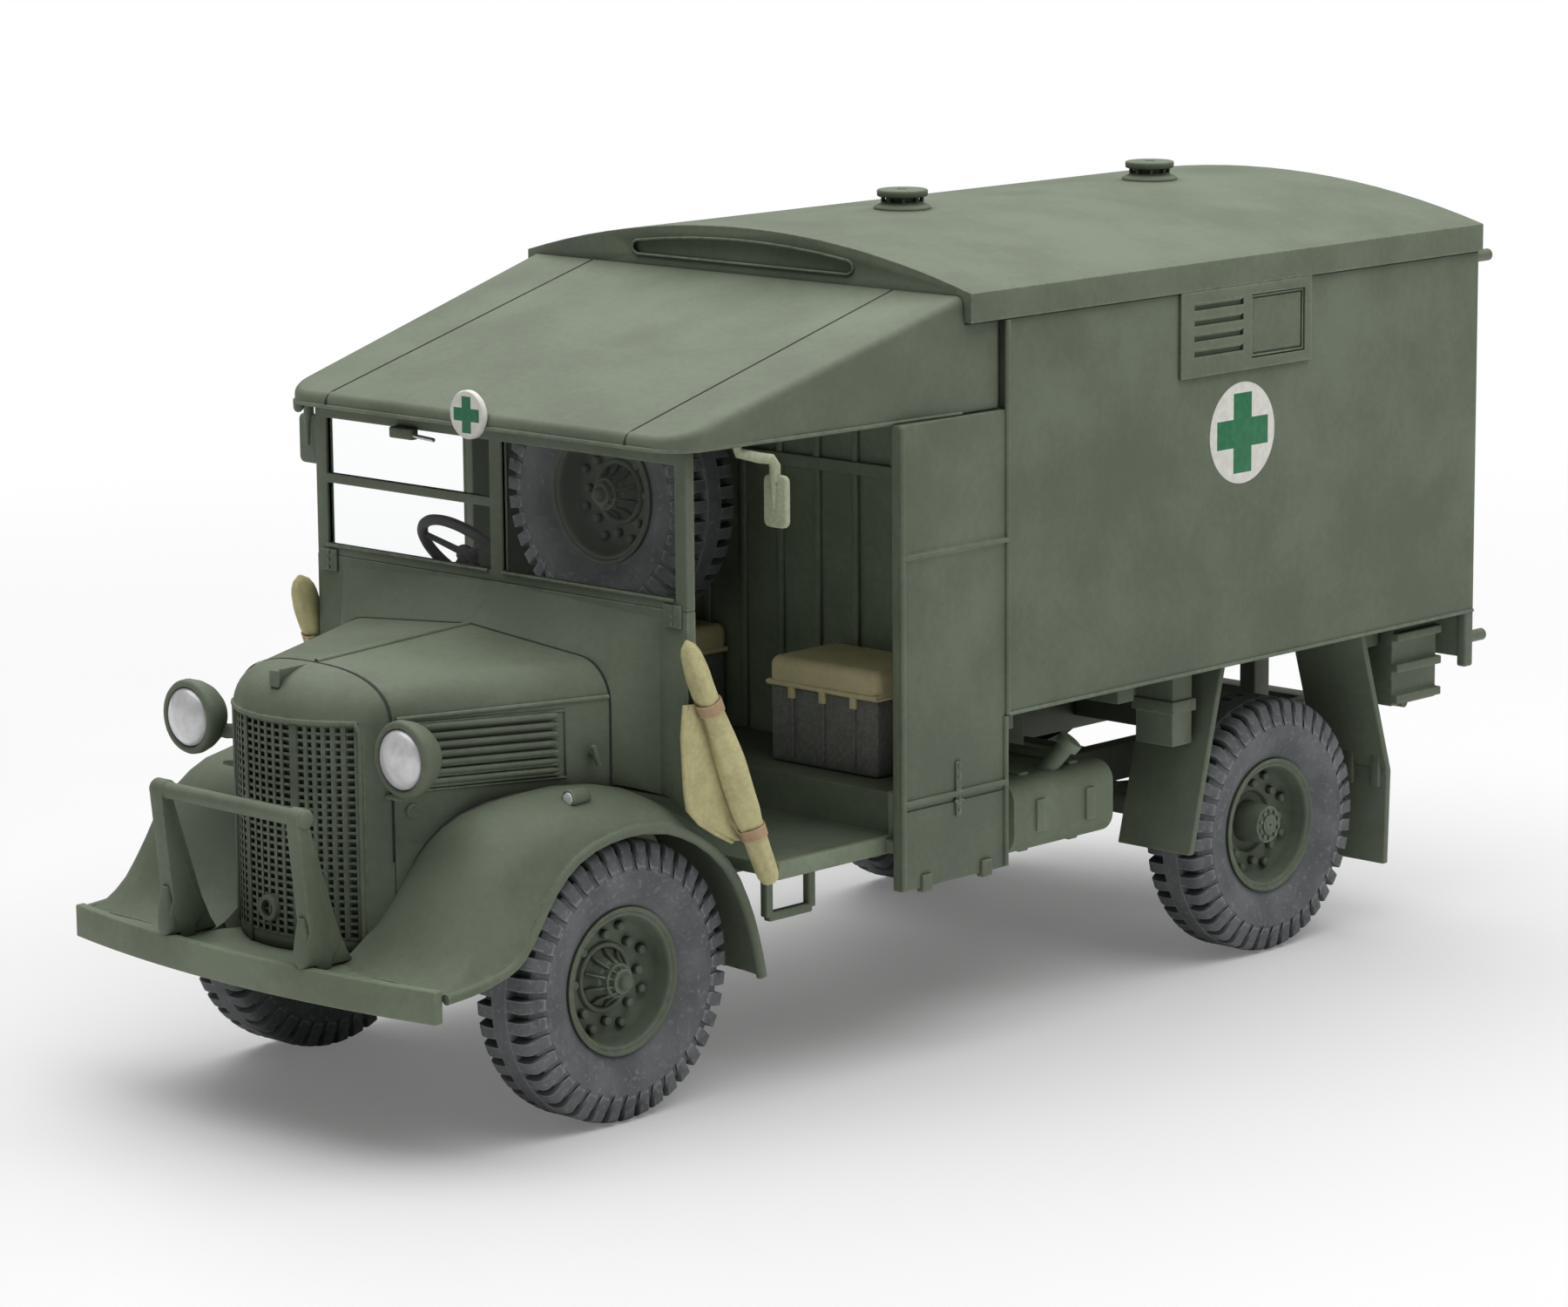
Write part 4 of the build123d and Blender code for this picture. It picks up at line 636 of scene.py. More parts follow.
def makeWing():
    shape = wingShape
    crest, lip, thick = shape["crest"], shape["lip"], shape["thick"]
    rows, bead, wall = [], [], []
    for i, ((back, high), (lipBack, lipHigh)) in enumerate(zip(crest, lip)):
        run = Vector(crest[min(i + 1, len(crest) - 1)]) - Vector(crest[max(i - 1, 0)])
        run.normalize()
        fade = shape["fade"][i] if i < len(shape["fade"]) else 1.0
        inner = shape["innerRear"]
        if back < shape["bonnetEnd"]:
            inner = [(x, dip * fade) for x, dip in shape["inner"]]
        row = [at(x, back + run.y * dip, high - run.x * dip) for x, dip in inner]
        square = min(1.0, max(0.0, (shape["slopeEnd"] - i) / shape["slopeBlend"]))
        across = [Vector(spot).lerp(Vector(front), square)
                  for spot, front in zip(shape["across"], shape["acrossFront"])]
        row += [at(x, between(back, lipBack, share), between(high, lipHigh, share))
                for x, share in across + shape["inside"]]
        row += [at(x, back + run.y * (dip + thick), high - run.x * (dip + thick)) for x, dip in reversed(inner)]
        rows.append(row)
        share = shape["beadShare"]
        bead.append(at(shape["beadX"], between(back, lipBack, share), between(high, lipHigh, share)))
        if back < shape["coveEnd"]:
            wall.append(row[0])
    sheetPiece = smooth(skinned("wingSheet", rows), 40)
    lipBead = tube("wingLip", bead, shape["beadRadius"], 12)
    shelf = at(0, 0, shape["coveFoot"]).z
    cove = []
    for point in [point for point in wall if point.z > shelf + 0.05 * mm]:
        foot = max(point.x - shape["coveLean"] * (point.z - shelf), shape["coveInner"] * mm)
        cove.append([point, Vector((foot, point.y, shelf)), Vector((foot + 0.5 * mm, point.y, shelf - 0.1 * mm)),
                     point + Vector((0.5 * mm, 0, -0.3 * mm))])
    return bundle("wingMade", [sheetPiece, lipBead, smooth(skinned("wingCove", cove), 40)])


wingLeft = makeWing()
wingRight = copied(wingLeft, "wingRightSkin", mirrored=True)
wingLeft.name = "wingLeftSkin"
dress(wingLeft, olive, stands=("wing_left",))
dress(wingRight, olive, stands=("wing_right",))
print("wings made")

# radiator grille: square mesh in three curved panels between plain upright bars

grille = {
    "centreBack": -8.461, "radius": 9.189, "low": 13.4, "high": 28.75, "foot": 12.32, "top": 29.0, "half": 6.75,
    "rows": 28,
    "panels": [(-6.45, -2.85, 6), (-2.25, 2.25, 6), (2.85, 6.45, 6)],  # from, to, columns
    "bars": [(-6.75, -6.45), (-2.85, -2.25), (2.25, 2.85), (6.45, 6.75)],
    "uprightHalf": 0.125, "levelHalf": 0.105, "meshDeep": 0.30, "crank": (0, -17.65, 15.17),
}


def nosePoint(x, inset, z):
    return at(x, grille["centreBack"] - math.sqrt((grille["radius"] - inset) ** 2 - x * x), z)


def noseBar(name, x, z, inset, depth, steps):
    rows = []
    for k in range(steps + 1):
        spot = between(*x, k / steps)
        rows.append([nosePoint(spot, inset, z[0]), nosePoint(spot, inset, z[1]),
                     nosePoint(spot, inset + depth, z[1]), nosePoint(spot, inset + depth, z[0])])
    return skinned(name, rows)


meshBars = []
low, high, foot, top, half, deep = [grille[key] for key in ("low", "high", "foot", "top", "half", "meshDeep")]
for first, last, columns in grille["panels"]:
    for k in range(1, columns):
        x = between(first, last, k / columns)
        span = (x - grille["uprightHalf"], x + grille["uprightHalf"])
        meshBars.append(noseBar("meshUpright", span, (low, high), 0.10, deep, 1))
    for k in range(grille["rows"] + 1):
        z = between(low, high, k / grille["rows"])
        span = (z - grille["levelHalf"], z + grille["levelHalf"])
        meshBars.append(noseBar("meshLevel", (first, last), span, 0.13, deep, 4))
for span in grille["bars"]:
    meshBars.append(soften(noseBar("plainBar", span, (foot, top), 0.02, 0.55, 2), 0.10))
meshBars.append(soften(noseBar("grilleHead", (-6.45, 6.45), (high, top), 0.04, 0.5, 10), 0.04, 1))
meshBars.append(turned("crankRing", at(*grille["crank"]), (0, 1, 0), [
    (-0.02, 0.56), (-0.22, 0.62), (-0.26, 0.76), (-0.20, 0.92), (0.10, 1.00), (1.60, 1.00), (1.60, 0.56)], 28))
dress(bundle("grilleMesh", meshBars), oliveShaded, stands=("radiator_grille",))
# the backing behind the mesh takes the darker olive too: painted shade
grilleBack = bundle("grilleBack", [
    noseBar("grilleDark", (-half, half), (low, top), 0.40, 0.35, 12),
    soften(noseBar("grilleBase", (-half, half), (foot, low), 0.16, 0.5, 12), 0.05, 1)])
dress(grilleBack, oliveShaded)
print("grille made")

# nose shell: domed slices over plain sides, with a bead round the grille's opening

nose = {"seam": -12.8, "depth": 4.85, "half": 8.1, "foot": 12.31, "turn": 28.6, "crown": 32.3}


def noseHalf(z):
    rise = max(0.0, (z - nose["turn"]) / (nose["crown"] - nose["turn"]))
    return nose["half"] * max(0.0, 1 - rise ** 2.6) ** (1 / 2.6)


def noseSlice(z, first, last, steps):
    depth, half = nose["depth"], noseHalf(z)
    if z > nose["turn"]:
        depth *= math.sqrt(max(0.0, 1 - ((z - nose["turn"]) / (nose["crown"] - nose["turn"])) ** 2))
    radius, flat = grille["radius"], grille["radius"] - nose["depth"]
    row = []
    for k in range(steps + 1):
        share = first + (last - first) * k / steps
        reach = (math.sqrt(radius ** 2 - (nose["half"] * share) ** 2) - flat) / nose["depth"]
        row.append(at(half * share, nose["seam"] - depth * reach, z))
    return row


edge = grille["half"] / nose["half"]
domeLevels = [29.0 + 3.3 * math.sin(math.pi / 2 * k / 14) for k in range(15)]
noseBits = [smooth(skinned("noseDome", [noseSlice(z, -1, 1, 36) for z in domeLevels], solid=False), 60)]
sideLevels = [nose["foot"], 16.0, 20.0, 24.0, 27.0, 28.0, 28.6, 29.0]
for side in (1, -1):
    rows = [noseSlice(z, side * edge, side, 6) for z in sideLevels]
    noseBits.append(smooth(skinned("noseSide", rows, solid=False), 60))
rim = [nosePoint(-grille["half"], 0.05, z) for z in (12.4, 18, 24, 28.3)]
rim += [nosePoint(grille["half"] * (-0.96 + 1.92 * k / 16), 0.05, 29.0) for k in range(17)]
rim += [nosePoint(grille["half"], 0.05, z) for z in (28.3, 24, 18, 12.4)]
noseBits.append(tube("grilleRim", rim, 0.20, 8))
fin = [at(-0.16, back, z) for back, z in (
    (-16.55, 30.6), (-16.5, 32.15), (-16.2, 32.3), (-14.6, 32.32), (-12.9, 32.3), (-14.2, 31.6))]
noseBits.append(cutOut("noseFin", fin, step(0.32, 0, 0), 0.1))
noseBits.append(slabAt("noseFinFace", (-0.5, 0.5), (-16.68, -16.4), (31.0, 32.25), 0.12))
dress(bundle("noseShell", noseBits), olive, stands=("radiator_shell",))
print("nose made")

# bonnet: hinge ridge, seams as black strips of painted shade, moulding under the top edge, louvre frame and latch

bonnet = {
    # value at the front seam, value at the rear end
    "half": (8.1, 14.65), "crown": (32.3, 33.0), "corner": (2.4, 3.2),
    "front": -12.8, "length": 15.2, "fall": 1.2, "foot": 21.5,
    "seamWide": 0.22, "proud": 0.03, "rearSeam": 2.34, "frontSeam": -12.84,
}


def bonnetSize(key, back):
    first, last = bonnet[key]
    return first + (back - bonnet["front"]) / bonnet["length"] * (last - first)


def bonnetHalf(back):
    return bonnetSize("half", back)


def bonnetCurve(back, proud):
    half, crown = bonnetHalf(back) + proud, bonnetSize("crown", back) + proud
    radius = bonnetSize("corner", back)
    lean = math.atan2(bonnet["fall"], half)
    bend = math.pi / 2 - lean
    level = crown - bonnet["fall"] - radius * math.tan(bend / 2)
    points = [(half, bonnet["foot"]), (half, level)]
    for k in range(1, 9):
        turn = bend * k / 8
        points.append((half - radius + radius * math.cos(turn), level + radius * math.sin(turn)))
    return points + [(0, crown)]


def seam(name, half, back):
    curve = half + [(-x, z) for x, z in reversed(half[:-1])]
    rows = [[at(x, back + side * bonnet["seamWide"] / 2, z) for x, z in curve] for side in (-1, 1)]
    return skinned(name, rows, solid=False)


proud = bonnet["proud"]
noseRun = [(noseHalf(z) + proud, z + proud * max(0.0, z - nose["turn"]) / (nose["crown"] - nose["turn"]))
           for z in [18.9, 21.5, 25.0, 28.0] + domeLevels]
rearRun = bonnetCurve(bonnet["rearSeam"], proud)
seams = [seam("frontSeam", noseRun, bonnet["frontSeam"]), seam("rearSeam", rearRun, bonnet["rearSeam"])]
wingSeam = []
crest = [Vector(spot) for spot in wingShape["crest"]]
for i in range(8, 17):
    (back, high), run = crest[i], (crest[i + 1] - crest[i - 1]).normalized()
    x = bonnetHalf(back + 1.0) + 0.02
    for (near, first), (far, last) in zip(wingShape["inner"], wingShape["inner"][1:]):
        if near <= x <= far:
            dip = first + (last - first) * (x - near) / (far - near)
            wingSeam.append((x, back + run.y * dip, high - run.x * dip))
for side in (1, -1):
    seams.append(tube("wingSeam", [at(side * x, back, z) for x, back, z in wingSeam], 0.10, 6))
# black tubes along the bonnet's seams and the wing joins: painted shade in the grooves
dress(bundle("bonnetSeams", seams), blackPaint)
bonnetBits = [tube("bonnetRidge", [at(0, -12.6, 32.26), at(0, 2.2, 32.95)], 0.24, 10)]
for side in (1, -1):
    bonnetBits.append(tube("bonnetBead", [at(side * (bonnetHalf(-12.5) + 0.02), -12.5, 29.15),
                                          at(side * (bonnetHalf(2.2) + 0.02), 2.2, 29.45)], 0.17, 8))
    corners = [(-11.2, 23.9), (-11.2, 28.75), (-0.9, 28.75), (-0.9, 23.9)]
    frameRun = [at(side * (bonnetHalf(back) + 0.02), back, z) for back, z in corners]
    bonnetBits.append(tube("louvreFrame", frameRun + frameRun[:1], 0.13, 6))
    for k in range(7):
        z = 24.5 + k * 0.66
        run = [at(side * (bonnetHalf(back) + 0.16), back, z) for back in (-10.7, -10.3, -1.9, -1.5)]
        bonnetBits.append(tube("louvreRib", run, [0.10, 0.24, 0.24, 0.10], 8))
    root = at(side * bonnetHalf(0.95), 0.95, 25.4)
    tip = root + step(side * 0.75, -0.25, 0)
    bonnetBits.append(tube("latchStem", [root, tip], 0.22, 8))
    cross = step(0, 0.25, -0.75)
    bonnetBits.append(tube("latchBar", [tip - cross, tip, tip + cross], [0.18, 0.26, 0.18], 8))
    bonnetBits.append(turned("sideBoss", at(side * bonnetHalf(-11.58), -11.58, 22.5), (side, 0, 0), [
        (-0.2, 0.0), (-0.2, 0.5), (0.16, 0.5), (0.20, 0.42), (0.10, 0.36), (0.10, 0.0)], 20))
    skirt = ((0.02, 15.5), (0.02, 20.8), (0.4, 20.8), (0.4, 15.5))  # inset from the side, height
    bonnetBits.append(skinned("bonnetSkirt", [
        [at(side * (bonnetHalf(back) - inset), back, z) for inset, z in skirt]
        for back in (-12.7, -11.0, -9.0, -7.0)]))
dress(bundle("bonnetBits", bonnetBits), olive)
print("bonnet dressed")

# headlamps: bowl, rim, arm and a bulged lens

lampBits, lensBits = [], []
for side in (1, -1):
    face = at(side * 11.5, -15.2, 27.1)
    lampBits.append(turned("lampBowl", face, (0, 1, 0), [
        (0.30, 2.14), (0.02, 2.24), (-0.04, 2.40), (0.02, 2.62), (0.22, 2.74), (0.60, 2.76), (0.80, 2.70),
        (1.30, 2.56), (1.95, 2.20), (2.55, 1.62), (3.00, 1.00), (3.30, 0.42), (3.38, 0.0),
        (0.60, 0.0), (0.60, 2.14)], 44))
    lampBits.append(tube("lampArm", [at(side * 7.9, -13.3, 26.3), at(side * 9.2, -13.3, 26.1),
                                     at(side * 10.6, -13.4, 26.2)], 0.55, 12))
    lampBits.append(slabAt("lampPlate", (side * 8.0, side * 9.6), (-13.5, -12.7), (23.55, 23.85), 0.08))
    lensBits.append(turned("lampLens", face, (0, 1, 0), [
        (0.32, 2.14), (0.06, 2.12), (-0.18, 1.86), (-0.40, 1.44), (-0.56, 0.90), (-0.63, 0.40), (-0.65, 0.0),
        (0.50, 0.0), (0.50, 2.14)], 40))
dress(bundle("headlampBowls", lampBits), olive, stands=("headlamps",))
dress(bundle("headlampGlass", lensBits), lens, stands=("headlamp_lenses",))

sideLampBits, sideLensBits = [], []
for side in (1, -1):
    face = at(side * 17.0, -4.3, 23.35)
    sideLampBits.append(turned("sideLamp", face, (0, 1, 0), [
        (0.0, 0.52), (0.02, 0.62), (0.30, 0.66), (1.50, 0.62), (1.85, 0.45), (2.0, 0.0), (0.15, 0.0),
        (0.15, 0.50)], 24))
    post = [at(side * 17.0, -3.4, z) for z in (23.0, 22.1)]
    sideLampBits.append(tube("sideLampFoot", post, [0.3, 0.45]))
    sideLensBits.append(turned("sideLens", face, (0, 1, 0), [
        (0.10, 0.51), (-0.06, 0.44), (-0.14, 0.0), (0.16, 0.0), (0.16, 0.51)], 22))
dress(bundle("sideLampCups", sideLampBits), olive, stands=("side_lamps",))
dress(bundle("sideLampGlass", sideLensBits), lens)
print("lamps made")

# rolled canvas doors: a folded bundle, its straps and the loose corner

roll = {
    "top": (20.75, 3.95, 34.0), "end": (22.2, 10.85, 15.6), "rows": 40, "sides": 28,
    "girth": [(0.0, 0.12), (0.02, 0.55), (0.06, 0.86), (0.14, 0.98), (0.24, 0.92), (0.27, 0.80), (0.30, 0.90),
              (0.50, 1.02), (0.70, 0.96), (0.79, 0.78), (0.83, 0.84), (0.97, 0.78), (1.0, 0.60)],
    "folds": [(2, 5.0, 0.0, 0.10), (3, -7.0, 1.0, 0.07), (6, 11.0, 2.0, 0.04)],  # waves, twist, start, depth
    "straps": [0.27, 0.79], "strapHalf": 0.022, "strapFoot": 0.02, "strapTop": 0.16, "strapFolds": 0.5,
    # front edge of the loose corner, its rear edge under the roll, height
    "loose": [(4.3, 5.8, 29.2), (4.05, 6.6, 27.0), (4.15, 7.3, 25.0), (4.25, 8.1, 23.0), (4.5, 8.6, 21.6),
              (5.6, 9.0, 20.5), (7.2, 9.4, 19.5), (8.9, 9.75, 18.6)],
    "looseThick": 0.35, "hemRadius": 0.24,
}


def rollGirth(share):
    steps = roll["girth"]
    for (low, first), (high, last) in zip(steps, steps[1:]):
        if share <= high:
            return first + (last - first) * (share - low) / (high - low)


def rollRing(share, grow=0.0, folds=1.0):
    start, end = at(*roll["top"]), at(*roll["end"])
    ahead = (end - start).normalized()
    across = Vector((1, 0, 0)) - ahead * ahead.x
    across.normalize()
    other = ahead.cross(across)
    ring = []
    for k in range(roll["sides"]):
        turn = fullTurn * k / roll["sides"]
        wave = 1 + folds * sum(depth * math.sin(count * turn + twist * share + begin)
                               for count, twist, begin, depth in roll["folds"])
        size = rollGirth(share) * wave + grow
        ring.append(start + (end - start) * share + (across * math.cos(turn) + other * math.sin(turn)) * size * mm)
    return ring


cloth = [rollRing(k / roll["rows"]) for k in range(roll["rows"] + 1)]
clothBits = [smooth(skinned("rollCloth", cloth), 60)]
strapBits = []
for share in roll["straps"]:
    low, high = share - roll["strapHalf"], share + roll["strapHalf"]
    foot, top = roll["strapFoot"], roll["strapTop"]
    rings = [rollRing(*spot, roll["strapFolds"]) for spot in ((low, foot), (low, top), (high, top), (high, foot))]
    strapBits.append(smooth(skinned("rollStrap", rings, ring=True), 40))
looseRows = []
for low, high, z in roll["loose"]:
    rollX = roll["top"][0] + (roll["top"][2] - z) / 18.4 * 1.45 - 0.2
    spots = [(20.35, low), (20.65 + 0.2 * math.sin(z), (low * 2 + high) / 3), (20.75, (low + high * 2) / 3),
             (rollX, high)]
    looseRows.append([at(x, back, z) for x, back in spots]
                     + [at(x - roll["looseThick"], back, z) for x, back in reversed(spots)])
clothBits.append(smooth(skinned("looseCloth", looseRows), 50))
clothBits.append(tube("clothHem", [at(20.25, low, z) for low, high, z in roll["loose"]], roll["hemRadius"], 8))
dress(bundle("canvasBundles", bothSides(clothBits)), tanCloth, stands=("canvas_rolls",))
dress(bundle("canvasStraps", bothSides(strapBits)), strapPaint)

# roof ventilators: flared foot, pillared neck and thick cap

ventProfile = [
    (-0.30, 2.25), (0.08, 2.30), (0.20, 2.24), (0.34, 1.98), (0.46, 1.66), (0.60, 1.56), (0.62, 1.30), (0.98, 1.30),
    (0.98, 1.92), (1.04, 2.00), (1.40, 2.02), (1.50, 1.96), (1.54, 1.82), (1.54, 0.0), (-0.30, 0.0),
]
ventBits = []
for back in (49.45, 79.75):
    foot = at(0, back, 59.7)
    ventBits.append(turned("ventTurned", foot, (0, 0, 1), ventProfile, 44))
    ventBits.append(pole("ventScrew", foot + step(0, 0, 1.4), foot + step(0, 0, 1.61), 0.42, 16, 0.06))
    for k in range(8):
        turn = fullTurn * k / 8
        stem = foot + step(1.52 * math.cos(turn), 1.52 * math.sin(turn), 0)
        ventBits.append(pole("ventPost", stem + step(0, 0, 0.5), stem + step(0, 0, 1.0), 0.17, 8))
dress(bundle("ventilatorCaps", ventBits), olive, stands=("ventilators",))

# mirrors: round-cornered heads on bent arms

def mirrorParts(side, back, top, x):
    middle, round_ = side * x, 0.5
    outline = []
    for cornerX, cornerZ, first in ((0.6, -0.5, 0), (-0.6, -0.5, 90), (-0.6, -3.3, 180), (0.6, -3.3, 270)):
        for k in range(5):
            turn = math.radians(first + 90 * k / 4)
            outline.append((cornerX + round_ * math.cos(turn), cornerZ + round_ * math.sin(turn)))
    head = cutOut("mirrorHead", [at(middle + u, back, top + v) for u, v in outline], step(0, 0.55, 0), 0.14)
    rib = tube("mirrorRib", [at(middle, back, top - 0.2), at(middle, back, top - 2.4)], [0.30, 0.16], 8)
    arm = tube("mirrorArm", [
        at(middle, back + 0.1, top - 0.5), at(middle, back + 0.1, top + 0.7),
        at(side * (x - 0.15), back - 0.1, top + 1.15), at(side * (x - 0.6), back - 0.9, top + 1.3),
        at(side * 20.9, back - 2.1, 46.85), at(side * 20.8, back - 2.2, 47.5)], 0.40)
    glassRun = [at(middle + u * 0.86, back + 0.5, top - 1.9 + (v + 1.9) * 0.90) for u, v in outline]
    return [head, rib, arm], cutOut("mirrorGlass", glassRun, step(0, 0.09, 0), 0.02, 1)


leftMirror, leftFace = mirrorParts(1, 11.4, 45.15, 22.35)
rightMirror, rightFace = mirrorParts(-1, 6.5, 46.0, 22.25)
dress(bundle("mirrorLeft", leftMirror), paleGreen, stands=("mirrors",))
dress(bundle("mirrorRight", rightMirror), olive, stands=("mirrors",))
dress(bundle("mirrorFaces", [leftFace, rightFace]), mirrorFace)

# white markings on the sides and on the visor

bodyHalf = 23.3
marking = {"side": (63.2, 42.56), "sideArm": 3.15, "sideHalf": 1.12, "visor": (2.88, 48.4), "visorArm": 1.35,
           "visorHalf": 0.48}
level = at(0, *marking["side"])
sideMark = crossedDisc("sideMark", (level.y / mm, level.z / mm), "Y", marking["sideArm"], marking["sideHalf"])
sideDiscs = [turned("sideDisc", at(side * bodyHalf, *marking["side"]), (side, 0, 0), [
    (-0.05, 0.0), (-0.05, 4.0), (0.03, 4.0), (0.05, 3.94), (0.05, 0.0)], 72) for side in (1, -1)]
dress(bundle("sideMarkings", sideDiscs), sideMark)
level = at(0, *marking["visor"])
visorMark = crossedDisc("visorMark", (0.0, level.z / mm), "X", marking["visorArm"], marking["visorHalf"])
visorDisc = turned("visorDisc", level, (0, -1, 0), [
    (0.0, 0.0), (0.0, 1.72), (0.10, 1.80), (0.40, 1.80), (0.50, 1.72), (0.50, 0.0)], 56)
dress(visorDisc, visorMark, stands=("front_disc",))
print("canvas, ventilators, mirrors and markings made")

# canopy: two sunk seams drawn as dark lines of painted shade, and a drip bead along the lower edge

def canopyTop(back):
    return 48.4 + 0.2756 * (back - 2.85)


seamBits = []
for side in (1, -1):
    x = side * 15.95
    run = [at(x, 2.80, 47.5), at(x, 2.80, 47.9), at(x, 3.05, 48.33)]
    run += [at(x, back, canopyTop(back)) for back in (3.6, 10.0, 20.0, 31.0)]
    seamBits.append(tube("canopySeam", run, 0.085, 6))
dress(bundle("canopySeams", seamBits), seamShade)
turns = [math.radians(angle) for angle in range(0, 91, 15)]
corner = [(18.2 + 3.0 * math.sin(turn), 5.85 - 3.0 * math.cos(turn)) for turn in turns]
edgeRun = [(0, 2.85)] + corner + [(21.9, 14.5), (22.85, 30.8)]
edgeRun = [(-x, back) for x, back in reversed(edgeRun[1:])] + edgeRun
dripBead = tube("canopyBead", [at(x, back, 47.52) for x, back in edgeRun], 0.17, 8)
slotEnd = [(11.65, 57.15), (11.75, 57.45), (11.6, 57.8), (11.2, 57.98)]
fasciaRim = [(x, 56.9) for x in (-11.2, 0, 11.2)] + slotEnd
fasciaRim += [(x, 57.98 + 0.72 * (1 - (x / 11.2) ** 2)) for x in (8, 5, 2.5, 0, -2.5, -5, -8)]
fasciaRim += [(-x, z) for x, z in reversed(slotEnd)] + [(-11.2, 56.9)]
slotRim = tube("fasciaRim", [at(x, 31.13, z) for x, z in fasciaRim], 0.13, 8)
dress(bundle("canopyBeads", [dripBead, slotRim]), olive)

# body sides: upright half-round beads, locker seam as a dark strip of painted shade, hinge straps and foot lugs

bodyTrim = {
    "beads": [  # name, back and height of both ends, radius, sides
        ("bodyBead", (35.45, 24.3), (35.45, 54.1), 0.26, 10), ("panelBead", (23.85, 12.7), (23.85, 47.3), 0.26, 10),
        ("panelRearBead", (35.2, 12.7), (35.2, 24.2), 0.24, 10),
        ("lockerBead", (24.0, 19.15), (35.2, 19.15), 0.26, 10), ("skirtEdge", (35.6, 24.3), (93.8, 24.3), 0.16, 8)],
    "rivets": (17.85, 18.75, 20.4, 21.25), "lugs": (26.25, 32.9), "louvres": 4, "louvreLow": 49.62,
    "louvrePitch": 1.2, "shutter": [(64.15, 48.5), (64.15, 53.2), (70.5, 53.2), (70.5, 48.5), (64.15, 48.5)],
}
trim, cracks = [], []
for side in (1, -1):
    x = side * bodyHalf
    for name, start, end, radius, sides in bodyTrim["beads"]:
        trim.append(tube(name, [at(x, *start), at(x, *end)], radius, sides))
    trim.append(slabAt("hingeStrap", (x - side * 0.2, x + side * 0.2), (29.5, 30.05), (17.45, 21.6), 0.06))
    for z in bodyTrim["rivets"]:
        trim.append(pole("hingeRivet", at(x, 29.78, z), at(x + side * 0.29, 29.78, z), 0.14, 10))
    trim.append(tube("hingePin", [at(x + side * 0.16, back, 18.62) for back in (29.3, 30.25)], 0.13, 8))
    for back in bodyTrim["lugs"]:
        span = (back - 0.55, back + 0.55)
        trim.append(slabAt("footLug", (x - side * 0.4, x + side * 0.26), span, (12.3, 13.6), 0.08))
    # a dark strip along the locker seam: painted shade in the groove
    cracks.append(slabAt("lockerSeam", (x - side * 0.2, x + side * 0.03), (24.0, 35.2), (18.56, 18.68), 0))
    for k in range(bodyTrim["louvres"]):
        z = bodyTrim["louvreLow"] + bodyTrim["louvrePitch"] * k
        run = [at(x + side * 0.10, back, z) for back in (56.9, 57.2, 62.7, 63.0)]
        trim.append(tube("louvreHood", run, [0.06, 0.19, 0.19, 0.06], 8))
    trim.append(slabAt("shutter", (x - side * 0.1, x + side * 0.1), (64.35, 70.3), (48.75, 53.0), 0.06))
    trim.append(tube("shutterFrame", [at(x + side * 0.08, *spot) for spot in bodyTrim["shutter"]], 0.12, 6))
dress(bundle("bodyTrim", trim), olive)
dress(bundle("lockerSeams", cracks), seamShade)
print("body trim made")

# cab: steering wheel, screen fittings, seat tabs, floor edge and bulkhead battens

steering = {"hub": (-8.8, 10.4, 36.1), "foot": (-8.8, 5.2, 31.4), "radius": 4.0, "bar": 0.42}
wheelHub, columnFoot = at(*steering["hub"]), at(*steering["foot"])
column = (wheelHub - columnFoot).normalized()
turns = [math.radians(angle) for angle in range(0, 360, 36)]
ringProfile = [(steering["bar"] * math.sin(turn), steering["radius"] + steering["bar"] * math.cos(turn))
               for turn in turns]
steer = [turned("steerRing", wheelHub, column, ringProfile)]
steer.append(turned("steerHub", wheelHub, column, [
    (-0.5, 0.0), (-0.5, 0.7), (0.1, 0.95), (0.35, 0.8), (0.45, 0.0)], 20))
levelSide = Vector((1, 0, 0))
upSide = column.cross(levelSide)
for angle in (90, 210, 330):
    turn = math.radians(angle)
    out = (levelSide * math.cos(turn) + upSide * math.sin(turn)) * mm
    steer.append(tube("steerSpoke", [wheelHub + out * 0.6, wheelHub + out * 3.9], [0.30, 0.22], 8))
steer.append(tube("steerColumn", [columnFoot, wheelHub], 0.45, 12))
dress(bundle("steering", steer), blackPaint, stands=("steering_wheel",))

screen = [slabAt("wiperMotor", (-10.7, -8.2), (4.35, 5.1), (45.50, 46.35), 0.14)]
for side in (1, -1):
    screen.append(slabAt("screenHinge", (side * 17.5, side * 19.3), (4.88, 5.12), (34.5, 36.2), 0.08))
    for z in (34.8, 35.4, 35.95):
        screen.append(pole("hingeScrew", at(side * 18.4, 5.0, z), at(side * 18.4, 4.78, z), 0.16, 10))
    screen.append(tube("screenSill", [at(side * x, 4.98, 36.5) for x in (0.8, 18.6)], 0.14, 8))
dress(bundle("screenFittings", screen), olive)
dress(tube("wiperShaft", [at(-8.3, 4.6, 45.85), at(-6.1, 4.7, 45.7)], 0.16, 8), steelPaint)

